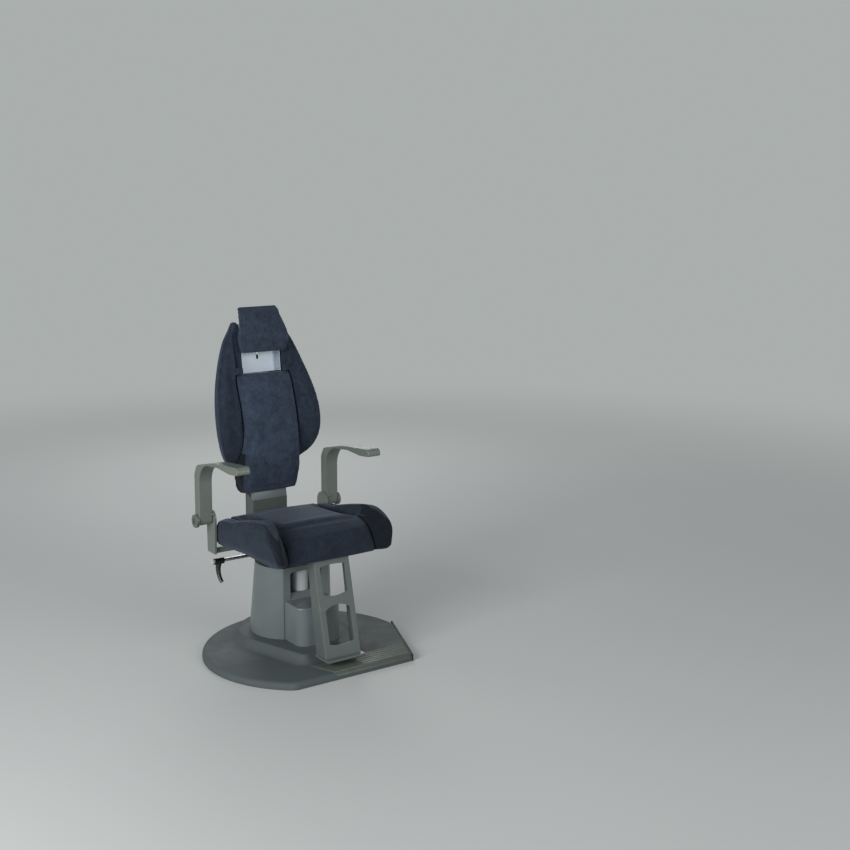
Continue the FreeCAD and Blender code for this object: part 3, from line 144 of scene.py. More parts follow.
world = bpy.data.worlds.new("studio")
bpy.context.scene.world = world
world.use_nodes = True
sky_tree = world.node_tree
sky_light = sky_tree.nodes["Background"]
sky_light.inputs["Color"].default_value = linear(222, 226, 230)
sky_light.inputs["Strength"].default_value = 0.30
sky_seen = sky_tree.nodes.new("ShaderNodeBackground")
sky_seen.inputs["Color"].default_value = BACKDROP
sky_mix = sky_tree.nodes.new("ShaderNodeMixShader")
sky_tree.links.new(seen_share(sky_tree), sky_mix.inputs["Fac"])
sky_tree.links.new(sky_light.outputs["Background"], sky_mix.inputs[1])
sky_tree.links.new(sky_seen.outputs["Background"], sky_mix.inputs[2])
sky_tree.links.new(sky_mix.outputs["Shader"], sky_tree.nodes["World Output"].inputs["Surface"])
for lamp, place, size, power in (("lamp_side", (-4.2, -1.9, 2.1), 2.4, 170), ("lamp_front", (1.6, -4.8, 2.4), 2.2, 55),
                                 ("lamp_rear", (1.8, 3.8, 2.6), 2.0, 50)):
    lamp_data = bpy.data.lights.new(lamp, "AREA")
    lamp_data.size = size
    lamp_data.energy = power
    lamp_object = bpy.data.objects.new(lamp, lamp_data)
    bpy.context.scene.collection.objects.link(lamp_object)
    lamp_object.location = place
    aim = Vector((0, 0, 0.6)) - Vector(place)
    lamp_object.rotation_euler = aim.to_track_quat("-Z", "Y").to_euler()
bpy.context.scene.view_settings.view_transform = "Standard"


# Base casting: a cast disc with a rolled edge, a straight front and a straight seam, and the plinth cast on it.
# It has a satin grey-blue powder coat.
def effect_group(name, inputs, outputs):
    """An empty shader group with named inputs, given as name, kind and value, and named outputs."""
    group = bpy.data.node_groups.new(name, "ShaderNodeTree")
    for label, kind, value in inputs:
        socket = group.interface.new_socket(name=label, in_out="INPUT", socket_type="NodeSocket" + kind)
        socket.default_value = value
    for label, kind in outputs:
        group.interface.new_socket(name=label, in_out="OUTPUT", socket_type="NodeSocket" + kind)
    return group, group.nodes.new("NodeGroupInput"), group.nodes.new("NodeGroupOutput")


def add_noise(tree, place, scale, detail=2.0, distortion=0.0, stretch=(1, 1, 1)):
    """Noise on the piece's own coordinates, stretched by its three scales."""
    noise = tree.nodes.new("ShaderNodeTexNoise")
    noise.inputs["Scale"].default_value = scale
    noise.inputs["Detail"].default_value = detail
    noise.inputs["Distortion"].default_value = distortion
    if stretch == (1, 1, 1):
        tree.links.new(place.outputs["Object"], noise.inputs["Vector"])
    else:
        mapping = tree.nodes.new("ShaderNodeMapping")
        mapping.inputs["Scale"].default_value = stretch
        tree.links.new(place.outputs["Object"], mapping.inputs["Vector"])
        tree.links.new(mapping.outputs["Vector"], noise.inputs["Vector"])
    return noise.outputs["Fac"]


def spread(tree, value, low, high, to_low, to_high):
    """The value's part between low and high, spread from to_low to to_high."""
    node = tree.nodes.new("ShaderNodeMapRange")
    for label, number in (("From Min", low), ("From Max", high), ("To Min", to_low), ("To Max", to_high)):
        node.inputs[label].default_value = number
    tree.links.new(value, node.inputs["Value"])
    return node.outputs["Result"]


def brighten(tree, colour, value):
    """The colour with its brightness multiplied."""
    node = tree.nodes.new("ShaderNodeHueSaturation")
    tree.links.new(value, node.inputs["Value"])
    tree.links.new(colour, node.inputs["Color"])
    return node.outputs["Color"]


def blended(tree, share, first, second):
    """A colour between two, each a socket or a plain colour."""
    node = tree.nodes.new("ShaderNodeMix")
    node.data_type = "RGBA"
    tree.links.new(share, node.inputs["Factor"])
    for label, colour in (("A", first), ("B", second)):
        socket = [s for s in node.inputs if s.name == label and s.type == "RGBA"][0]
        if isinstance(colour, (list, tuple)):
            socket.default_value = colour
        else:
            tree.links.new(colour, socket)
    return [s for s in node.outputs if s.type == "RGBA"][0]


powder_coat, coat_in, coat_out = effect_group(
    "powder_coat", [("Tone", "Color", (0.2, 0.2, 0.2, 1)), ("Gloss Loss", "Float", 0.38), ("Scuffs", "Float", 0.1)],
    [("Color", "Color"), ("Roughness", "Float"), ("Height", "Float")])
coat_place = powder_coat.nodes.new("ShaderNodeTexCoord")
coat_cloud = spread(powder_coat, add_noise(powder_coat, coat_place, 5.0, 3.0), 0.3, 0.7, 0.95, 1.05)
coat_speck = spread(powder_coat, add_noise(powder_coat, coat_place, 420.0, 1.0), 0.3, 0.7, 0.97, 1.03)
coat_colour = brighten(powder_coat, coat_in.outputs["Tone"], combine(powder_coat, "MULTIPLY", coat_cloud, coat_speck))
coat_scratch = spread(powder_coat, add_noise(powder_coat, coat_place, 9.0, 5.0, 0.6, (1, 7, 3)), 0.63, 0.72, 0.0, 1.0)
coat_scuff = combine(powder_coat, "MULTIPLY", coat_scratch, coat_in.outputs["Scuffs"])
powder_coat.links.new(blended(powder_coat, coat_scuff, coat_colour, linear(168, 172, 168)), coat_out.inputs["Color"])
coat_smudge = spread(powder_coat, add_noise(powder_coat, coat_place, 17.0, 4.0, 0.4), 0.3, 0.7, -0.05, 0.07)
powder_coat.links.new(combine(powder_coat, "ADD", coat_in.outputs["Gloss Loss"], coat_smudge),
                      coat_out.inputs["Roughness"])
powder_coat.links.new(add_noise(powder_coat, coat_place, 620.0, 1.5), coat_out.inputs["Height"])


def finish_material(name, effect, inputs, relief, constants=()):
    """A material whose colour, roughness and relief come from an effect group; relief is its height in metres."""
    material = bpy.data.materials.new(name)
    material.use_nodes = True
    tree = material.node_tree
    skin = tree.nodes["Principled BSDF"]
    group = tree.nodes.new("ShaderNodeGroup")
    group.node_tree = effect
    for label, value in inputs:
        group.inputs[label].default_value = value
    bump = tree.nodes.new("ShaderNodeBump")
    bump.inputs["Distance"].default_value = relief
    tree.links.new(group.outputs["Color"], skin.inputs["Base Color"])
    tree.links.new(group.outputs["Roughness"], skin.inputs["Roughness"])
    tree.links.new(group.outputs["Height"], bump.inputs["Height"])
    tree.links.new(bump.outputs["Normal"], skin.inputs["Normal"])
    for label, value in constants:
        skin.inputs[label].default_value = value
    return material


def only(piece):
    """Only this piece is selected and active."""
    bpy.ops.object.select_all(action="DESELECT")
    piece.select_set(True)
    bpy.context.view_layer.objects.active = piece


def apply_modifier(piece, kind, **settings):
    """Adds one modifier with these settings and applies it."""
    only(piece)
    modifier = piece.modifiers.new("work", kind)
    for label, value in settings.items():
        setattr(modifier, label, value)
    bpy.ops.object.modifier_apply(modifier="work")


def merged_copy(node, name):
    """A copy of a CAD piece's mesh with its loose triangles merged, as an object of its own."""
    piece = bpy.data.objects.new(name, nodes[node].data.copy())
    bpy.context.scene.collection.objects.link(piece)
    piece.data.materials.clear()
    only(piece)
    bpy.ops.mesh.customdata_custom_splitnormals_clear()
    bpy.ops.object.mode_set(mode="EDIT")
    bpy.ops.mesh.select_all(action="SELECT")
    bpy.ops.mesh.remove_doubles(threshold=0.00001)
    bpy.ops.object.mode_set(mode="OBJECT")
    return piece


def carried(piece, node, material):
    """The piece takes the place, body, slot and material of this CAD node."""
    piece.data.materials.clear()
    piece.data.materials.append(material)
    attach(piece, nodes[node]["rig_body"])
    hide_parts(node)
    return piece


def eased(node, material, edge=0.0008, steps=2, sharp=32):
    """A merged copy of a rigid CAD piece with its sharp edges eased, in place of the node."""
    piece = merged_copy(node, node + "_finished")
    bpy.ops.object.mode_set(mode="EDIT")
    bpy.ops.mesh.dissolve_limited(angle_limit=math.radians(0.2))
    bpy.ops.object.mode_set(mode="OBJECT")
    apply_modifier(piece, "BEVEL", width=edge, segments=steps, limit_method="ANGLE",
                   angle_limit=math.radians(sharp), use_clamp_overlap=True, harden_normals=False)
    bpy.ops.object.shade_smooth_by_angle(angle=math.radians(sharp))
    apply_modifier(piece, "WEIGHTED_NORMAL", keep_sharp=True, weight=60)
    return carried(piece, node, material)


def kept(node, material):
    """A CAD piece that shows as it is, with a finished material."""
    nodes[node].data.materials.clear()
    nodes[node].data.materials.append(material)


# Its tone is set darker than the pedestal cover's, which wears the same coat: painted shade on the disc's top.
base_paint = finish_material("base_paint", powder_coat, [("Tone", linear(84, 92, 93)), ("Gloss Loss", 0.6),
                                                         ("Scuffs", 0.03)], 0.00006, [("Specular IOR Level", 0.12)])
eased("base_casting", base_paint, 0.0022, 3)


# Seam strip and stop pads: black rubber, the strip pressed in along the disc's straight seam, the pads glued
# under the carriage.
moulded_skin, mould_in, mould_out = effect_group(
    "moulded_skin", [("Tone", "Color", (0.02, 0.02, 0.02, 1)), ("Gloss Loss", "Float", 0.5), ("Grain", "Float", 900.0)],
    [("Color", "Color"), ("Roughness", "Float"), ("Height", "Float")])
mould_place = moulded_skin.nodes.new("ShaderNodeTexCoord")
mould_cloud = spread(moulded_skin, add_noise(moulded_skin, mould_place, 30.0, 4.0), 0.3, 0.7, 0.9, 1.1)
moulded_skin.links.new(brighten(moulded_skin, mould_in.outputs["Tone"], mould_cloud), mould_out.inputs["Color"])
mould_wipe = spread(moulded_skin, add_noise(moulded_skin, mould_place, 45.0, 3.0, 0.5), 0.3, 0.7, -0.06, 0.08)
moulded_skin.links.new(combine(moulded_skin, "ADD", mould_in.outputs["Gloss Loss"], mould_wipe),
                       mould_out.inputs["Roughness"])
mould_grain = moulded_skin.nodes.new("ShaderNodeTexVoronoi")
moulded_skin.links.new(mould_in.outputs["Grain"], mould_grain.inputs["Scale"])
moulded_skin.links.new(mould_place.outputs["Object"], mould_grain.inputs["Vector"])
moulded_skin.links.new(mould_grain.outputs["Distance"], mould_out.inputs["Height"])
pad_rubber = finish_material("pad_rubber", moulded_skin, [("Tone", linear(24, 25, 26)), ("Gloss Loss", 0.62),
                                                          ("Grain", 700.0)], 0.0001)
eased("seam_strip", pad_rubber, 0.001)
kept("stop_pads", pad_rubber)


# Tread plate: moulded with ribs across it, laid on the disc's straight front and bent down over its rolled edge.
tread_plastic = finish_material("tread_plastic", moulded_skin, [("Tone", linear(80, 86, 80)), ("Gloss Loss", 0.5),
                                                                ("Grain", 900.0)], 0.00003)
TREAD_REAR, TREAD_UNDER, TREAD_TOP, RIB_TOP = -0.2225, 0.0262, 0.0292, 0.0304
TREAD_RIBS = [-0.229 - 0.0178 * index for index in range(6)]
RIB_FOOT, RIB_CREST = 0.0056, 0.0036
RIM_Y, RIM_Z, RIM_OUTSIDE, RIM_INSIDE = -0.3222, 0.0080, 0.0184, 0.0168
tread_line = [(TREAD_REAR, TREAD_UNDER), (TREAD_REAR, TREAD_TOP)]
for rib in TREAD_RIBS:
    tread_line += [(rib + RIB_FOOT, TREAD_TOP), (rib + RIB_CREST, RIB_TOP),
                   (rib - RIB_CREST, RIB_TOP), (rib - RIB_FOOT, TREAD_TOP)]
bend = [math.radians(angle) for angle in range(8, 75, 11)]
tread_line += [(RIM_Y - RIM_OUTSIDE * math.sin(a), RIM_Z + RIM_OUTSIDE * math.cos(a)) for a in bend]
tread_line += [(RIM_Y - RIM_INSIDE * math.sin(a), RIM_Z + RIM_INSIDE * math.cos(a)) for a in reversed(bend)]
bpy.ops.object.select_all(action="DESELECT")
bpy.ops.mesh.primitive_circle_add(vertices=len(tread_line), fill_type="NGON")
tread = bpy.context.object
tread.name = "tread_plate_ribbed"
for vertex, (y, z) in zip(tread.data.vertices, tread_line):
    vertex.co = (-0.15, y, z)
bpy.ops.object.mode_set(mode="EDIT")
bpy.ops.mesh.select_all(action="SELECT")
bpy.ops.mesh.extrude_region_move(TRANSFORM_OT_translate={"value": (0.50, 0, 0)})
for end, normal in ((-0.1135, (-0.922, -0.387, 0)), (0.3065, (0.9317, -0.3633, 0))):
    bpy.ops.mesh.select_all(action="SELECT")
    bpy.ops.mesh.bisect(plane_co=(end, TREAD_REAR, 0), plane_no=normal, use_fill=True, clear_outer=True)
bpy.ops.mesh.select_all(action="SELECT")
bpy.ops.mesh.normals_make_consistent(inside=False)
bpy.ops.object.mode_set(mode="OBJECT")
apply_modifier(tread, "BEVEL", width=0.0006, segments=2, limit_method="ANGLE", angle_limit=math.radians(28))
bpy.ops.object.shade_smooth_by_angle(angle=math.radians(35))
carried(tread, "tread_plate", tread_plastic)


# Pedestal cover and pump housing: formed shells in the same powder coat as the base; they keep its unshaded tone, and
# the base's darker tone is painted shade.
cover_paint = finish_material("cover_paint", powder_coat, [("Tone", linear(104, 113, 114)), ("Gloss Loss", 0.36),
                                                           ("Scuffs", 0.02)], 0.00006, [("Coat Weight", 0.1)])
eased("pedestal_cover", cover_paint, 0.0012)
eased("front_housing", cover_paint, 0.0012)


# Lift column, hydraulic cylinder and pump set: turned and welded steel, mostly inside the shells.
brushed_lines, brush_in, brush_out = effect_group(
    "brushed_lines", [("Tone", "Color", (0.6, 0.6, 0.6, 1)), ("Gloss Loss", "Float", 0.3)],
    [("Color", "Color"), ("Roughness", "Float"), ("Height", "Float")])
brush_place = brushed_lines.nodes.new("ShaderNodeTexCoord")
brush_hair = add_noise(brushed_lines, brush_place, 60.0, 3.0, 0.0, (1, 22, 22))
brush_cloud = add_noise(brushed_lines, brush_place, 14.0, 3.0)
brushed_lines.links.new(brighten(brushed_lines, brush_in.outputs["Tone"], spread(
    brushed_lines, combine(brushed_lines, "ADD", brush_hair, brush_cloud), 0.6, 1.4, 0.93, 1.06)),
    brush_out.inputs["Color"])
brushed_lines.links.new(combine(brushed_lines, "ADD", brush_in.outputs["Gloss Loss"], spread(
    brushed_lines, brush_hair, 0.3, 0.7, -0.06, 0.08)), brush_out.inputs["Roughness"])
brushed_lines.links.new(brush_hair, brush_out.inputs["Height"])
column_steel = finish_material("column_steel", brushed_lines, [("Tone", linear(150, 153, 155)), ("Gloss Loss", 0.42)],
                               0.00004, [("Metallic", 1.0)])
cylinder_paint = finish_material("cylinder_paint", powder_coat, [("Tone", linear(196, 202, 206)), ("Gloss Loss", 0.3),
                                                                 ("Scuffs", 0.02)], 0.00004, [("Coat Weight", 0.2)])
piston_chrome = finish_material("piston_chrome", brushed_lines, [("Tone", linear(224, 226, 228)), ("Gloss Loss", 0.1)],
                                0.000004, [("Metallic", 1.0)])
fastener_steel = finish_material("fastener_steel", brushed_lines, [("Tone", linear(178, 180, 180)),
                                                                   ("Gloss Loss", 0.3)], 0.00002, [("Metallic", 1.0)])
liner_plastic = finish_material("liner_plastic", moulded_skin, [("Tone", linear(210, 208, 198)), ("Gloss Loss", 0.45),
                                                                ("Grain", 900.0)], 0.00004)
motor_paint = finish_material("motor_paint", powder_coat, [("Tone", linear(58, 62, 66)), ("Gloss Loss", 0.45),
                                                           ("Scuffs", 0.1)], 0.00008)
pipe_metal = finish_material("pipe_metal", brushed_lines, [("Tone", linear(190, 160, 110)), ("Gloss Loss", 0.35)],
                             0.00003, [("Metallic", 1.0)])
box_plastic = finish_material("box_plastic", moulded_skin, [("Tone", linear(188, 190, 186)), ("Gloss Loss", 0.5),
                                                            ("Grain", 900.0)], 0.00005)
for node, material in (("column_outer", column_steel), ("column_inner", column_steel), ("column_liner", liner_plastic),
                       ("column_shoe", liner_plastic), ("column_bolts", fastener_steel),
                       ("lift_piston", piston_chrome), ("pump_motor", motor_paint), ("pump_tank", motor_paint),
                       ("pressure_pipe", pipe_metal), ("control_box", box_plastic)):
    kept(node, material)
eased("lift_cylinder", cylinder_paint, 0.0008)
eased("cylinder_gland", cylinder_paint, 0.0004)


# Carriage, wedge rails, seat frame and board: welded steel, painted dark, under a dark stained plywood board.
frame_paint = finish_material("frame_paint", powder_coat, [("Tone", linear(52, 56, 58)), ("Gloss Loss", 0.45),
                                                           ("Scuffs", 0.08)], 0.00007)
for node in ("carriage_plate", "wedge_rails", "seat_frame", "brake_collar", "clamp_block"):
    eased(node, frame_paint, 0.0008)
kept("clamp_cam", frame_paint)
kept("recline_sleeve", column_steel)
kept("recline_pin", column_steel)
sheet_wood, wood_in, wood_out = effect_group(
    "sheet_wood", [("Early", "Color", (0.5, 0.35, 0.2, 1)), ("Late", "Color", (0.35, 0.22, 0.12, 1))],
    [("Color", "Color"), ("Roughness", "Float"), ("Height", "Float")])
wood_place = sheet_wood.nodes.new("ShaderNodeTexCoord")
wood_grain = add_noise(sheet_wood, wood_place, 9.0, 6.0, 1.6, (14, 1, 2))
sheet_wood.links.new(blended(sheet_wood, spread(sheet_wood, wood_grain, 0.35, 0.65, 0.0, 1.0),
                             wood_in.outputs["Early"], wood_in.outputs["Late"]), wood_out.inputs["Color"])
sheet_wood.links.new(spread(sheet_wood, wood_grain, 0.3, 0.7, 0.5, 0.68), wood_out.inputs["Roughness"])
sheet_wood.links.new(wood_grain, wood_out.inputs["Height"])
panel_wood = finish_material("panel_wood", sheet_wood, [("Early", linear(62, 56, 50)),
                                                        ("Late", linear(44, 39, 35))], 0.0002)
eased("seat_board", panel_wood, 0.0012)


# Footrest frame and its foot plate: one folded and welded frame with two openings, bolted to the seat frame.
footrest_paint = finish_material("footrest_paint", powder_coat, [("Tone", linear(88, 97, 95)), ("Gloss Loss", 0.42),
                                                                 ("Scuffs", 0.14)], 0.00006, [("Coat Weight", 0.08)])
eased("footrest_frame", footrest_paint, 0.0014, 3)
eased("footrest_lip", footrest_paint, 0.001)


# Arm yoke, pivots and arms: aluminium castings with a light satin paint; the pads are cast in one with the posts.
arm_paint = finish_material("arm_paint", powder_coat, [("Tone", linear(106, 114, 107)), ("Gloss Loss", 0.42),
                                                       ("Scuffs", 0.05)], 0.00006, [("Coat Weight", 0.1)])
cap_plastic = finish_material("cap_plastic", moulded_skin, [("Tone", linear(92, 98, 96)), ("Gloss Loss", 0.4),
                                                            ("Grain", 900.0)], 0.00004)
eased("arm_yoke", arm_paint, 0.0012)
kept("arm_pins", column_steel)
for side in ("left", "right"):
    kept("arm_bush_" + side, liner_plastic)
    eased("arm_" + side, arm_paint, 0.0008)
    eased("arm_cap_" + side, cap_plastic, 0.0006)


# Clamp lever: a chromed shaft, a black hub with a light end cap, and a curved glossy black handle.
lever_plastic = finish_material("lever_plastic", moulded_skin, [("Tone", linear(17, 18, 20)), ("Gloss Loss", 0.24),
                                                                ("Grain", 900.0)], 0.00002, [("Coat Weight", 0.3)])
kept("lever_shaft", piston_chrome)
eased("lever_hub", lever_plastic, 0.0006)
handle_low, handle_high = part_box("lever_handle")
handle_x = (handle_low[0] + handle_high[0]) / 2
bpy.ops.object.select_all(action="DESELECT")
bpy.ops.curve.primitive_nurbs_path_add()
handle = bpy.context.object
handle.name = "lever_handle_moulded"
route = handle.data.splines[0]
for point, (x, y, z, width) in zip(route.points, ((0.002, 0.304, 0.329, 1.5), (-0.006, 0.303, 0.309, 1.15),
                                                  (-0.007, 0.300, 0.287, 1.0), (-0.005, 0.289, 0.263, 0.95),
                                                  (0.0, 0.277, 0.2485, 0.85))):
    point.co = (handle_x + x, y, z, 1)
    point.radius = width
handle.data.bevel_depth = 0.0086
handle.data.bevel_resolution = 5
handle.data.resolution_u = 10
handle.data.use_fill_caps = True
bpy.ops.object.convert(target="MESH")
bpy.ops.object.mode_set(mode="EDIT")
bpy.ops.mesh.select_all(action="SELECT")
bpy.ops.transform.resize(value=(1.05, 1, 1), center_override=(handle_x, 0.304, 0.3))
bpy.ops.object.mode_set(mode="OBJECT")
apply_modifier(handle, "BEVEL", width=0.003, segments=3, limit_method="ANGLE", angle_limit=math.radians(40))
bpy.ops.object.shade_smooth_by_angle(angle=math.radians(50))
carried(handle, "lever_handle", lever_plastic)
eased("lever_cap", box_plastic, 0.0005)


# Seat cushion: foam on the board under a navy brushed velour, crowned, with a rounded front edge.
brushed_velour, nap_in, nap_out = effect_group(
    "brushed_velour", [("Light", "Color", (0.1, 0.1, 0.2, 1)), ("Dark", "Color", (0.02, 0.02, 0.05, 1)),
                       ("Patch", "Float", 11.0)],
    [("Color", "Color"), ("Roughness", "Float"), ("Height", "Float")])
nap_place = brushed_velour.nodes.new("ShaderNodeTexCoord")
nap_patch = brushed_velour.nodes.new("ShaderNodeTexNoise")
nap_patch.inputs["Detail"].default_value = 5.0
nap_patch.inputs["Roughness"].default_value = 0.62
nap_patch.inputs["Distortion"].default_value = 0.7
brushed_velour.links.new(nap_in.outputs["Patch"], nap_patch.inputs["Scale"])
brushed_velour.links.new(nap_place.outputs["Object"], nap_patch.inputs["Vector"])
nap_fleck = add_noise(brushed_velour, nap_place, 95.0, 6.0, 0.3)
nap_streak = add_noise(brushed_velour, nap_place, 170.0, 3.0, 0.0, (1, 1, 0.16))
nap_pile = add_noise(brushed_velour, nap_place, 1500.0, 2.0)
nap_cloud = combine(brushed_velour, "ADD", spread(brushed_velour, nap_patch.outputs["Fac"], 0.36, 0.64, 0.0, 0.38),
                    spread(brushed_velour, nap_fleck, 0.34, 0.66, 0.08, 0.38))
nap_share = combine(brushed_velour, "ADD", nap_cloud, spread(brushed_velour, nap_streak, 0.32, 0.68, 0.0, 0.26))
nap_colour = blended(brushed_velour, nap_share, nap_in.outputs["Dark"], nap_in.outputs["Light"])
brushed_velour.links.new(brighten(brushed_velour, nap_colour, spread(brushed_velour, nap_pile, 0.25, 0.75, 0.86, 1.14)),
                         nap_out.inputs["Color"])
brushed_velour.links.new(spread(brushed_velour, nap_fleck, 0.3, 0.7, 0.82, 0.96), nap_out.inputs["Roughness"])
brushed_velour.links.new(combine(brushed_velour, "ADD", combine(brushed_velour, "MULTIPLY", nap_pile, 0.5),
                                 combine(brushed_velour, "ADD", combine(brushed_velour, "MULTIPLY", nap_streak, 0.35),
                                         combine(brushed_velour, "MULTIPLY", nap_fleck, 0.6))),
                         nap_out.inputs["Height"])
velour_sheen = [("Sheen Weight", 0.16), ("Sheen Roughness", 0.5), ("Sheen Tint", (0.6, 0.7, 0.9, 1)),
                ("Specular IOR Level", 0.15)]
seat_cloth = finish_material("seat_cloth", brushed_velour, [("Light", linear(42, 51, 64)), ("Dark", linear(20, 26, 32)),
                                                            ("Patch", 26.0)], 0.0006, velour_sheen)
SEAT_TILT = math.radians(4.1)
SEAT_REAR = np.array([0, 0.320, 0.395])
SEAT_UP = np.array([0, math.sin(SEAT_TILT), math.cos(SEAT_TILT)])
SEAT_HALF, SEAT_END = 0.192, 0.2970
board_top = (-SEAT_UP, -(SEAT_UP @ SEAT_REAR) - 0.0002)


def points_of(piece):
    """The piece's vertices as an array."""
    points = np.empty(len(piece.data.vertices) * 3, np.float32)
    piece.data.vertices.foreach_get("co", points)
    return points.reshape(-1, 3).astype(float)


def put_points(piece, points):
    """Moves the piece's vertices to these points."""
    piece.data.vertices.foreach_set("co", points.astype(np.float32).ravel())
    piece.data.update()


def normals_of(piece):
    """The outward direction at each of the piece's vertices."""
    normals = np.empty(len(piece.data.vertices) * 3, np.float32)
    piece.data.vertex_normals.foreach_get("vector", normals)
    return normals.reshape(-1, 3).astype(float)


def within(points, limits):
    """The points, each pushed back behind the planes that it may not cross, given as direction and distance."""
    for direction, distance in limits:
        over = np.maximum(points @ direction - distance, 0)
        points = points - over[:, None] * direction
    return points


CLOTH_FRAMES, CLOTH_SHRINK = 14, 0.0012


def upholstered(node, name, limits, voxel=0.005, rounds=3, draw_in=0.004, pressure=4.0, swell=0.014):
    """A foam pad from its CAD form: remeshed, its edges softened, swollen by cloth, kept behind its limits."""
    pad = merged_copy(node, name)
    apply_modifier(pad, "REMESH", mode="VOXEL", voxel_size=voxel)
    apply_modifier(pad, "SMOOTH", factor=0.5, iterations=rounds)
    start, outward = points_of(pad), normals_of(pad)
    bpy.ops.object.mode_set(mode="EDIT")
    bpy.ops.mesh.select_all(action="SELECT")
    bpy.ops.transform.shrink_fatten(value=-draw_in)
    bpy.ops.object.mode_set(mode="OBJECT")
    cloth = pad.modifiers.new("swelling", "CLOTH")
    cloth.settings.use_pressure = True
    cloth.settings.uniform_pressure_force = pressure
    cloth.settings.effector_weights.gravity = 0
    cloth.point_cache.frame_start, cloth.point_cache.frame_end = 1, CLOTH_FRAMES
    for step in range(1, CLOTH_FRAMES + 1):
        bpy.context.scene.frame_set(step)
    only(pad)
    bpy.ops.object.modifier_apply(modifier="swelling")
    bpy.context.scene.frame_set(1)
    swollen = np.clip(((points_of(pad) - start) * outward).sum(axis=1), -CLOTH_SHRINK, swell)
    put_points(pad, start + outward * swollen[:, None])
    put_points(pad, within(points_of(pad), limits))
    apply_modifier(pad, "SUBSURF", levels=1, render_levels=1)
    only(pad)
    bpy.ops.object.shade_smooth()
    return pad


def line_piece(name, points):
    """A thin run of edges through these points, for a seam or a welt to follow."""
    mesh = bpy.data.meshes.new(name)
    mesh.from_pydata([tuple(point) for point in points], [(i, i + 1) for i in range(len(points) - 1)], [])
    piece = bpy.data.objects.new(name, mesh)
    bpy.context.scene.collection.objects.link(piece)
    only(piece)
    bpy.ops.object.mode_set(mode="EDIT")
    bpy.ops.mesh.select_all(action="SELECT")
    bpy.ops.mesh.subdivide(number_cuts=9)
    bpy.ops.mesh.vertices_smooth(factor=0.5, repeat=30)
    bpy.ops.object.mode_set(mode="OBJECT")
    return piece


def edge_piece(node, name, keep, sharp=40):
    """The CAD piece's own sharp edges, where keep says so, as a thin run of edges."""
    piece = merged_copy(node, name)
    bpy.ops.object.mode_set(mode="EDIT")
    bpy.ops.mesh.select_mode(type="EDGE")
    bpy.ops.mesh.select_all(action="DESELECT")
    bpy.ops.mesh.edges_select_sharp(sharpness=math.radians(sharp))
    bpy.ops.object.mode_set(mode="OBJECT")
    points = points_of(piece)
    for edge in piece.data.edges:
        edge.select = edge.select and bool(keep((points[edge.vertices[0]] + points[edge.vertices[1]]) / 2))
    bpy.ops.object.mode_set(mode="EDIT")
    bpy.ops.mesh.select_all(action="INVERT")
    bpy.ops.mesh.delete(type="EDGE")
    bpy.ops.mesh.select_all(action="SELECT")
    bpy.ops.mesh.delete(type="ONLY_FACE")
    bpy.ops.mesh.select_all(action="SELECT")
    bpy.ops.mesh.subdivide(number_cuts=1)
    bpy.ops.mesh.vertices_smooth(factor=0.5, repeat=6)
    bpy.ops.mesh.select_mode(type="VERT")
    bpy.ops.object.mode_set(mode="OBJECT")
    return piece


def sewn_in(pad, wire, depth=0.0016, width=0.0045):
    """Draws the pad's cover in along the run of edges, as a sewn seam does."""
    apply_modifier(wire, "SHRINKWRAP", target=pad, wrap_method="NEAREST_SURFACEPOINT")
    tree = KDTree(len(wire.data.vertices))
    for index, vertex in enumerate(wire.data.vertices):
        tree.insert(vertex.co, index)
    tree.balance()
    points = points_of(pad)
    away = np.array([tree.find(Vector(point))[2] for point in points])
    gather = 1 + 0.25 * np.sin(points @ np.array([310.0, 340.0, 370.0]))
    pull = depth * gather * np.exp(-(away / width) ** 2)
    put_points(pad, points - normals_of(pad) * pull[:, None])


def welt(pad, wire, node, material, radius=0.0016, lift=0.3):
    """A thin cloth-covered cord sewn into the seam, on the pad's surface along the run of edges."""
    apply_modifier(wire, "SHRINKWRAP", target=pad, wrap_method="NEAREST_SURFACEPOINT",
                   wrap_mode="ABOVE_SURFACE", offset=radius * lift)
    only(wire)
    bpy.ops.object.convert(target="CURVE")
    wire.data.bevel_depth = radius
    wire.data.bevel_resolution = 2
    wire.data.use_fill_caps = True
    bpy.ops.object.convert(target="MESH")
    bpy.ops.object.shade_smooth()
    wire.data.materials.clear()
    wire.data.materials.append(material)
    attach(wire, nodes[node]["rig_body"])


def eased_step(value, low, high):
    """0 below low, 1 above high, and a smooth rise between."""
    share = np.clip((value - low) / (high - low), 0, 1)
    return share * share * (3 - 2 * share)


def above_seat_board(points):
    """How high the points stand above the seat board, square to it."""
    return (points - SEAT_REAR) @ SEAT_UP


def hem_drop(points):
    """How far the cover's hem hangs down over the board's front and side edges."""
    hem = np.maximum(eased_step(-points[:, 1], 0.165, 0.190),
                     eased_step(np.abs(points[:, 0]), 0.206, 0.214) * eased_step(-points[:, 1], -0.02, 0.08))
    return 0.013 * hem * (1 - np.clip(above_seat_board(points) / 0.045, 0, 1))


seat_limits = [board_top, (np.array([1.0, 0, 0]), SEAT_HALF - 0.0002), (np.array([-1.0, 0, 0]), SEAT_HALF - 0.0002),
               (np.array([0, 1.0, 0]), SEAT_END)]
cushion = upholstered("seat_cushion", "seat_cushion_velour", seat_limits)
form = points_of(cushion)
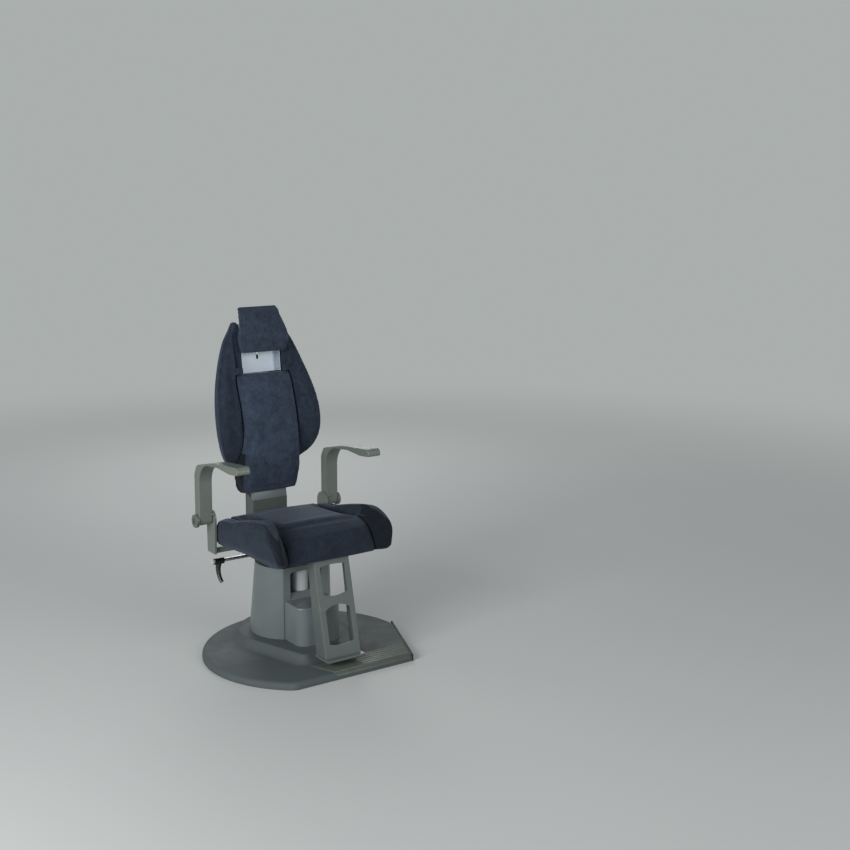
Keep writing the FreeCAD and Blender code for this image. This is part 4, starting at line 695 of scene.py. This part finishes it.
# The front face lies behind the flat CAD nose by these amounts at these heights, more at the sides than in the middle.
NOSE_HEIGHTS = (0.0, 0.011, 0.054, 0.087, 0.102, 0.115)
NOSE_SIDE, NOSE_MIDDLE = (0.004, 0.014, 0.044, 0.074, 0.108, 0.118), (0.0, 0.006, 0.018, 0.034, 0.058, 0.070)
rise, sideways = above_seat_board(form), (form[:, 0] / SEAT_HALF) ** 4
back = np.interp(rise, NOSE_HEIGHTS, NOSE_SIDE) * sideways
back += np.interp(rise, NOSE_HEIGHTS, NOSE_MIDDLE) * (1 - sideways)
back *= eased_step(-form[:, 1], 0.0, 0.20)
hem = hem_drop(form)
# The rear edge stands up, a little more at its corners.
corner = 0.010 + 0.005 * sideways
form += (corner * eased_step(form[:, 1], 0.19, 0.28) * eased_step(rise, 0.03, 0.09))[:, None] * SEAT_UP
form[:, 1] += back
put_points(cushion, form - hem[:, None] * SEAT_UP)
carried(cushion, "seat_cushion", seat_cloth)
SIDES = (("left", 1.0), ("right", -1.0))
for side, way in SIDES:
    edge = edge_piece("seat_cushion", "seat_welt_" + side, lambda p: p[0] * way > 0.15 and p[2] > 0.44 + 0.07 * p[1])
    sewn_in(cushion, edge)
    welt(cushion, edge, "seat_cushion", seat_cloth)


# Side bolsters: foam wedges with a crowned outer panel, its front edge sewn in an arc from ridge to foot.
BOLSTER_SEAM = [(0.250, 0.477), (0.210, 0.494), (0.168, 0.510), (0.105, 0.528), (0.045, 0.543), (-0.005, 0.553),
                (-0.065, 0.568), (-0.115, 0.572), (-0.150, 0.566), (-0.162, 0.549), (-0.171, 0.529), (-0.188, 0.510),
                (-0.207, 0.492), (-0.226, 0.470), (-0.238, 0.452)]
SEAM_OUT, SEAM_CREST = 0.262, 7
FACET_SLANT, RIDGE_SLANT = 1.43, 0.3
FACET_HEIGHTS = (0.0, 0.011, 0.02, 0.04, 0.055, 0.07, 0.085, 0.10, 0.115)
FACET_INNER = (0.002, 0.014, 0.032, 0.060, 0.074, 0.088, 0.101, 0.120, 0.124)
EDGE_HEIGHTS = (0.0, 0.02, 0.04, 0.055, 0.07, 0.085, 0.10, 0.115, 0.135)
FACET_OUTER = (-0.010, -0.030, -0.014, -0.007, -0.006, -0.008, -0.015, -0.022, -0.020)
side_cloth = finish_material("side_cloth", brushed_velour, [("Light", linear(46, 56, 68)), ("Dark", linear(22, 28, 35)),
                                                            ("Patch", 28.0)], 0.0006, velour_sheen)
# A much darker copy of the same velour, painted shade: it goes on the bolsters' front facets and on the back cushion's
# lower sides.
painted_shade_cloth = finish_material("painted_shade_cloth", brushed_velour, [("Light", linear(24, 29, 36)),
                                                              ("Dark", linear(11, 14, 18)),
                                                              ("Patch", 28.0)], 0.0006, velour_sheen)
arc_z, arc_y = [z for y, z in BOLSTER_SEAM[:SEAM_CREST - 1:-1]], [y for y, z in BOLSTER_SEAM[:SEAM_CREST - 1:-1]]
top_y, top_z = [y for y, z in BOLSTER_SEAM[SEAM_CREST::-1]], [z for y, z in BOLSTER_SEAM[SEAM_CREST::-1]]
for side, way in SIDES:
    bolster_inside = SEAT_HALF + 0.0006
    bolster = upholstered("bolster_" + side, "bolster_%s_velour" % side,
                          [board_top, (np.array([-way, 0, 0]), -bolster_inside)])
    form = points_of(bolster)
    out = np.clip((form[:, 0] * way - bolster_inside) / 0.06, 0, 1.2)
    rise = above_seat_board(form)
    # The crest is lifted at its rear and along its outer shoulder, and drops to the seat's height inside.
    shoulder = eased_step(out, 0.5, 1.0) * eased_step(form[:, 1], -0.21, -0.12)
    lift = (0.022 * shoulder + 0.024 * eased_step(form[:, 1], 0.14, 0.28)) * eased_step(rise, 0.02, 0.07)
    cap = 0.106 + 0.066 * eased_step(out, 0.0, 0.6)
    drop = np.maximum(rise - cap, 0) * eased_step(-form[:, 1], -0.10, 0.0)
    # The front facet runs back from the outer arc to the seat's own front face.
    hem = hem_drop(form)
    inner, outer = np.interp(rise, FACET_HEIGHTS, FACET_INNER), np.interp(rise, EDGE_HEIGHTS, FACET_OUTER)
    form[:, 1] += (inner + (outer - inner) * np.minimum(out, 1)) * eased_step(-form[:, 1], 0.0, 0.20)
    put_points(bolster, form + (lift - drop - hem)[:, None] * SEAT_UP)
    carried(bolster, "bolster_" + side, side_cloth)
    arc = line_piece("bolster_welt_" + side, [(SEAM_OUT * way, y, z) for y, z in BOLSTER_SEAM])
    sewn_in(bolster, arc, 0.003, 0.006)
    bolster.data.materials.append(painted_shade_cloth)
    bolster.data.materials.append(seat_cloth)
    # Faces before the seam arc take the much darker copy of the cloth: painted shade on the bolster's front facet.
    for face in bolster.data.polygons:
        x, y, z = face.center
        inward = SEAM_OUT - x * way
        before_arc = y < np.interp(z, arc_z, arc_y) + FACET_SLANT * inward
        if before_arc and face.normal.z < 0.6 and face.normal.y < 0.2:
            face.material_index = 1
        # The top faces inboard of the ridge take the seat's darker cloth: painted shade on the bolster's top.
        elif z > np.interp(y, top_y, top_z) + RIDGE_SLANT * inward + 0.001 and inward > 0:
            face.material_index = 2
    welt(bolster, arc, "bolster_" + side, side_cloth, 0.0018, 0.5)


# Back bracket: folded steel with a tilted step, two ears on the hinge pin and a spine behind the board. A lighter
# painted sheet, folded round at both sides, closes its front over the step.
bracket_paint = finish_material("bracket_paint", powder_coat, [("Tone", linear(78, 85, 82)), ("Gloss Loss", 0.46),
                                                               ("Scuffs", 0.06)], 0.00006, [("Coat Weight", 0.04)])
eased("back_bracket", bracket_paint, 0.0009)
bpy.ops.object.select_all(action="DESELECT")
bpy.ops.mesh.primitive_plane_add(size=1)
brow = bpy.context.object
brow.name = "bracket_brow"
BROW_WIDTH, BROW_FOOT, BROW_HEAD = 0.1556, (0.2999, 0.5505), (0.3067, 0.5935)
for vertex in brow.data.vertices:
    vertex.co = (vertex.co.x * BROW_WIDTH, *(BROW_HEAD if vertex.co.y > 0 else BROW_FOOT))
bpy.ops.object.mode_set(mode="EDIT")
bpy.ops.mesh.select_mode(type="EDGE")
bpy.ops.mesh.select_all(action="DESELECT")
bpy.ops.object.mode_set(mode="OBJECT")
for edge in brow.data.edges:
    ends = [brow.data.vertices[index].co.x for index in edge.vertices]
    edge.select = abs(ends[0] - ends[1]) < 0.001
bpy.ops.object.mode_set(mode="EDIT")
bpy.ops.mesh.extrude_region_move(TRANSFORM_OT_translate={"value": (0, 0.016, 0)})
bpy.ops.mesh.select_all(action="SELECT")
bpy.ops.mesh.normals_make_consistent(inside=False)
bpy.ops.object.mode_set(mode="OBJECT")
apply_modifier(brow, "SOLIDIFY", thickness=0.0025, offset=-1)
apply_modifier(brow, "BEVEL", width=0.0007, segments=2, limit_method="ANGLE", angle_limit=math.radians(30))
bpy.ops.object.shade_smooth_by_angle(angle=math.radians(35))
brow_paint = finish_material("brow_paint", powder_coat, [("Tone", linear(104, 115, 118)), ("Gloss Loss", 0.4),
                                                         ("Scuffs", 0.03)], 0.00006, [("Coat Weight", 0.06)])
brow.data.materials.append(brow_paint)
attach(brow, nodes["back_bracket"]["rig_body"])


# Back board and rear cover: a plywood leaf with a moulded shell over its rear.
eased("back_board", panel_wood, 0.0012)
cover_plastic = finish_material("cover_plastic", moulded_skin, [("Tone", linear(74, 80, 82)), ("Gloss Loss", 0.5),
                                                                ("Grain", 520.0)], 0.00008)
eased("back_cover", cover_plastic, 0.004, 4)


# Back cushion: a narrow pad that swells forward at the small of the back, with crisp sewn edges.
BACK_LEAN = math.radians(7.3)
BACK_FOOT = np.array([0, 0.286, 0.592])
BACK_OUT = np.array([0, -math.cos(BACK_LEAN), math.sin(BACK_LEAN)])
BOARD_BEHIND = 0.0598
board_face = (-BACK_OUT, -(BACK_OUT @ BACK_FOOT) + BOARD_BEHIND)


def before_board(points):
    """How far the points stand in front of the back board, square to it."""
    return (points - BACK_FOOT) @ BACK_OUT + BOARD_BEHIND


back_cloth = finish_material("back_cloth", brushed_velour, [("Light", linear(66, 78, 96)), ("Dark", linear(33, 41, 52)),
                                                            ("Patch", 26.0)], 0.0006, velour_sheen)
back_cushion = upholstered("back_cushion", "back_cushion_velour", [board_face], voxel=0.004, rounds=2, swell=0.006)
form = points_of(back_cushion)
# Below the board's foot the cover wraps back round its sides. Its side faces below 0.76 m take the much darker cloth as
# painted shade.
foot = (1 - eased_step(form[:, 2], 0.640, 0.700)) * eased_step(np.abs(form[:, 0]), 0.082, 0.090)
form -= (0.020 * foot * (1 - np.clip(before_board(form) / 0.03, 0, 1)))[:, None] * BACK_OUT
put_points(back_cushion, form)
carried(back_cushion, "back_cushion", back_cloth)
back_cushion.data.materials.append(painted_shade_cloth)
for face in back_cushion.data.polygons:
    face.material_index = int(abs(face.normal.x) > 0.72 and face.center.z < 0.76)
front_edge = edge_piece("back_cushion", "back_cushion_welt", lambda p: before_board(p) > BOARD_BEHIND - 0.03)
sewn_in(back_cushion, front_edge)
welt(back_cushion, front_edge, "back_cushion", back_cloth, 0.0014)


# Wings: leaf-shaped pads either side of the cushion, piped along their inner edges.
wing_cloth = finish_material("wing_cloth", brushed_velour, [("Light", linear(50, 61, 76)), ("Dark", linear(24, 30, 39)),
                                                            ("Patch", 24.0)], 0.0006, velour_sheen)
for side, way in SIDES:
    wing = upholstered("wing_" + side, "wing_%s_velour" % side, [board_face], voxel=0.004, rounds=2, swell=0.006)
    form = points_of(wing)
    front, across, height = before_board(form), np.abs(form[:, 0]), form[:, 2]
    # The upper inner edge and the outer edge stand forward, but stay behind the headrest where it slides.
    inner = 1 - eased_step(across, 0.098, 0.150)
    share = np.clip(front / np.maximum(0.020, 0.045 - 0.025 * eased_step(height, 1.10, 1.20)), 0, 1)
    proud = 0.022 * eased_step(height, 1.02, 1.10) * inner + 0.010 * eased_step(across, 0.15, 0.21)
    ceiling = np.where((height > 1.105) & (across < 0.124), 0.0572 - 0.0062 * eased_step(height, 1.185, 1.225), 0.20)
    forward = np.minimum(proud * share, ceiling - front)
    # A notch under the headrest, and a tip that leans inwards.
    notch = (1 - eased_step(across, 0.120, 0.140)) * eased_step(height, 1.066, 1.078)
    tip = eased_step(height, 1.20, 1.293)
    form[:, 0] = way * (across - (across - 0.092) * 0.22 * tip + 0.006 * inner * (1 - eased_step(height, 0.90, 0.98)))
    form[:, 2] -= 0.0075 * notch * (1 - eased_step(height, 1.088, 1.120)) + 0.011 * tip
    put_points(wing, form + forward[:, None] * BACK_OUT)
    carried(wing, "wing_" + side, wing_cloth)
    rim = edge_piece("wing_" + side, "wing_welt_" + side,
                     lambda p: abs(p[0]) < 0.14 and before_board(p) > BOARD_BEHIND - 0.045)
    sewn_in(wing, rim)
    welt(wing, rim, "wing_" + side, wing_cloth, 0.0018, 0.5)


# Headrest channel and carrier: folded sheet, the channel anodised silver with a slot for the clamp stud.
trim_metal = finish_material("trim_metal", brushed_lines, [("Tone", linear(172, 182, 192)), ("Gloss Loss", 0.4)],
                             0.00003, [("Metallic", 0.6)])
carrier_metal = finish_material("carrier_metal", brushed_lines, [("Tone", linear(150, 155, 160)),
                                                                 ("Gloss Loss", 0.4)], 0.00003, [("Metallic", 0.9)])
eased("headrest_channel", trim_metal, 0.0006)
eased("headrest_carrier", carrier_metal, 0.0006)
eased("headrest_board", panel_wood, 0.001)
kept("knob_stud", fastener_steel)


# Headrest cushion: a rounded pad whose upper half bends back, with its own velour cover.
head_cloth = finish_material("head_cloth", brushed_velour, [("Light", linear(62, 73, 90)), ("Dark", linear(30, 37, 47)),
                                                            ("Patch", 30.0)], 0.0006, velour_sheen)
headrest = upholstered("headrest_cushion", "headrest_cushion_velour", [], voxel=0.003, rounds=2, swell=0.004)
form = points_of(headrest)
form[:, 0] *= 1 + 0.045 * eased_step(form[:, 2], 1.17, 1.22)
form[:, 2] -= 0.006
# Its rear stays clear of the wings all the way down the slide.
front = before_board(form)
clear = 0.0610 - 0.0084 * eased_step(form[:, 2], 1.262, 1.278) - 0.020 * eased_step(form[:, 2], 1.326, 1.336)
form += np.maximum(clear - front, 0)[:, None] * BACK_OUT
form[:, 1] += 0.009 * eased_step(form[:, 2], 1.327, 1.342) * (front < 0.075)
put_points(headrest, form)
carried(headrest, "headrest_cushion", head_cloth)


# Headrest knob: a lobed black moulding behind the channel.
eased("headrest_knob", lever_plastic, 0.0008)
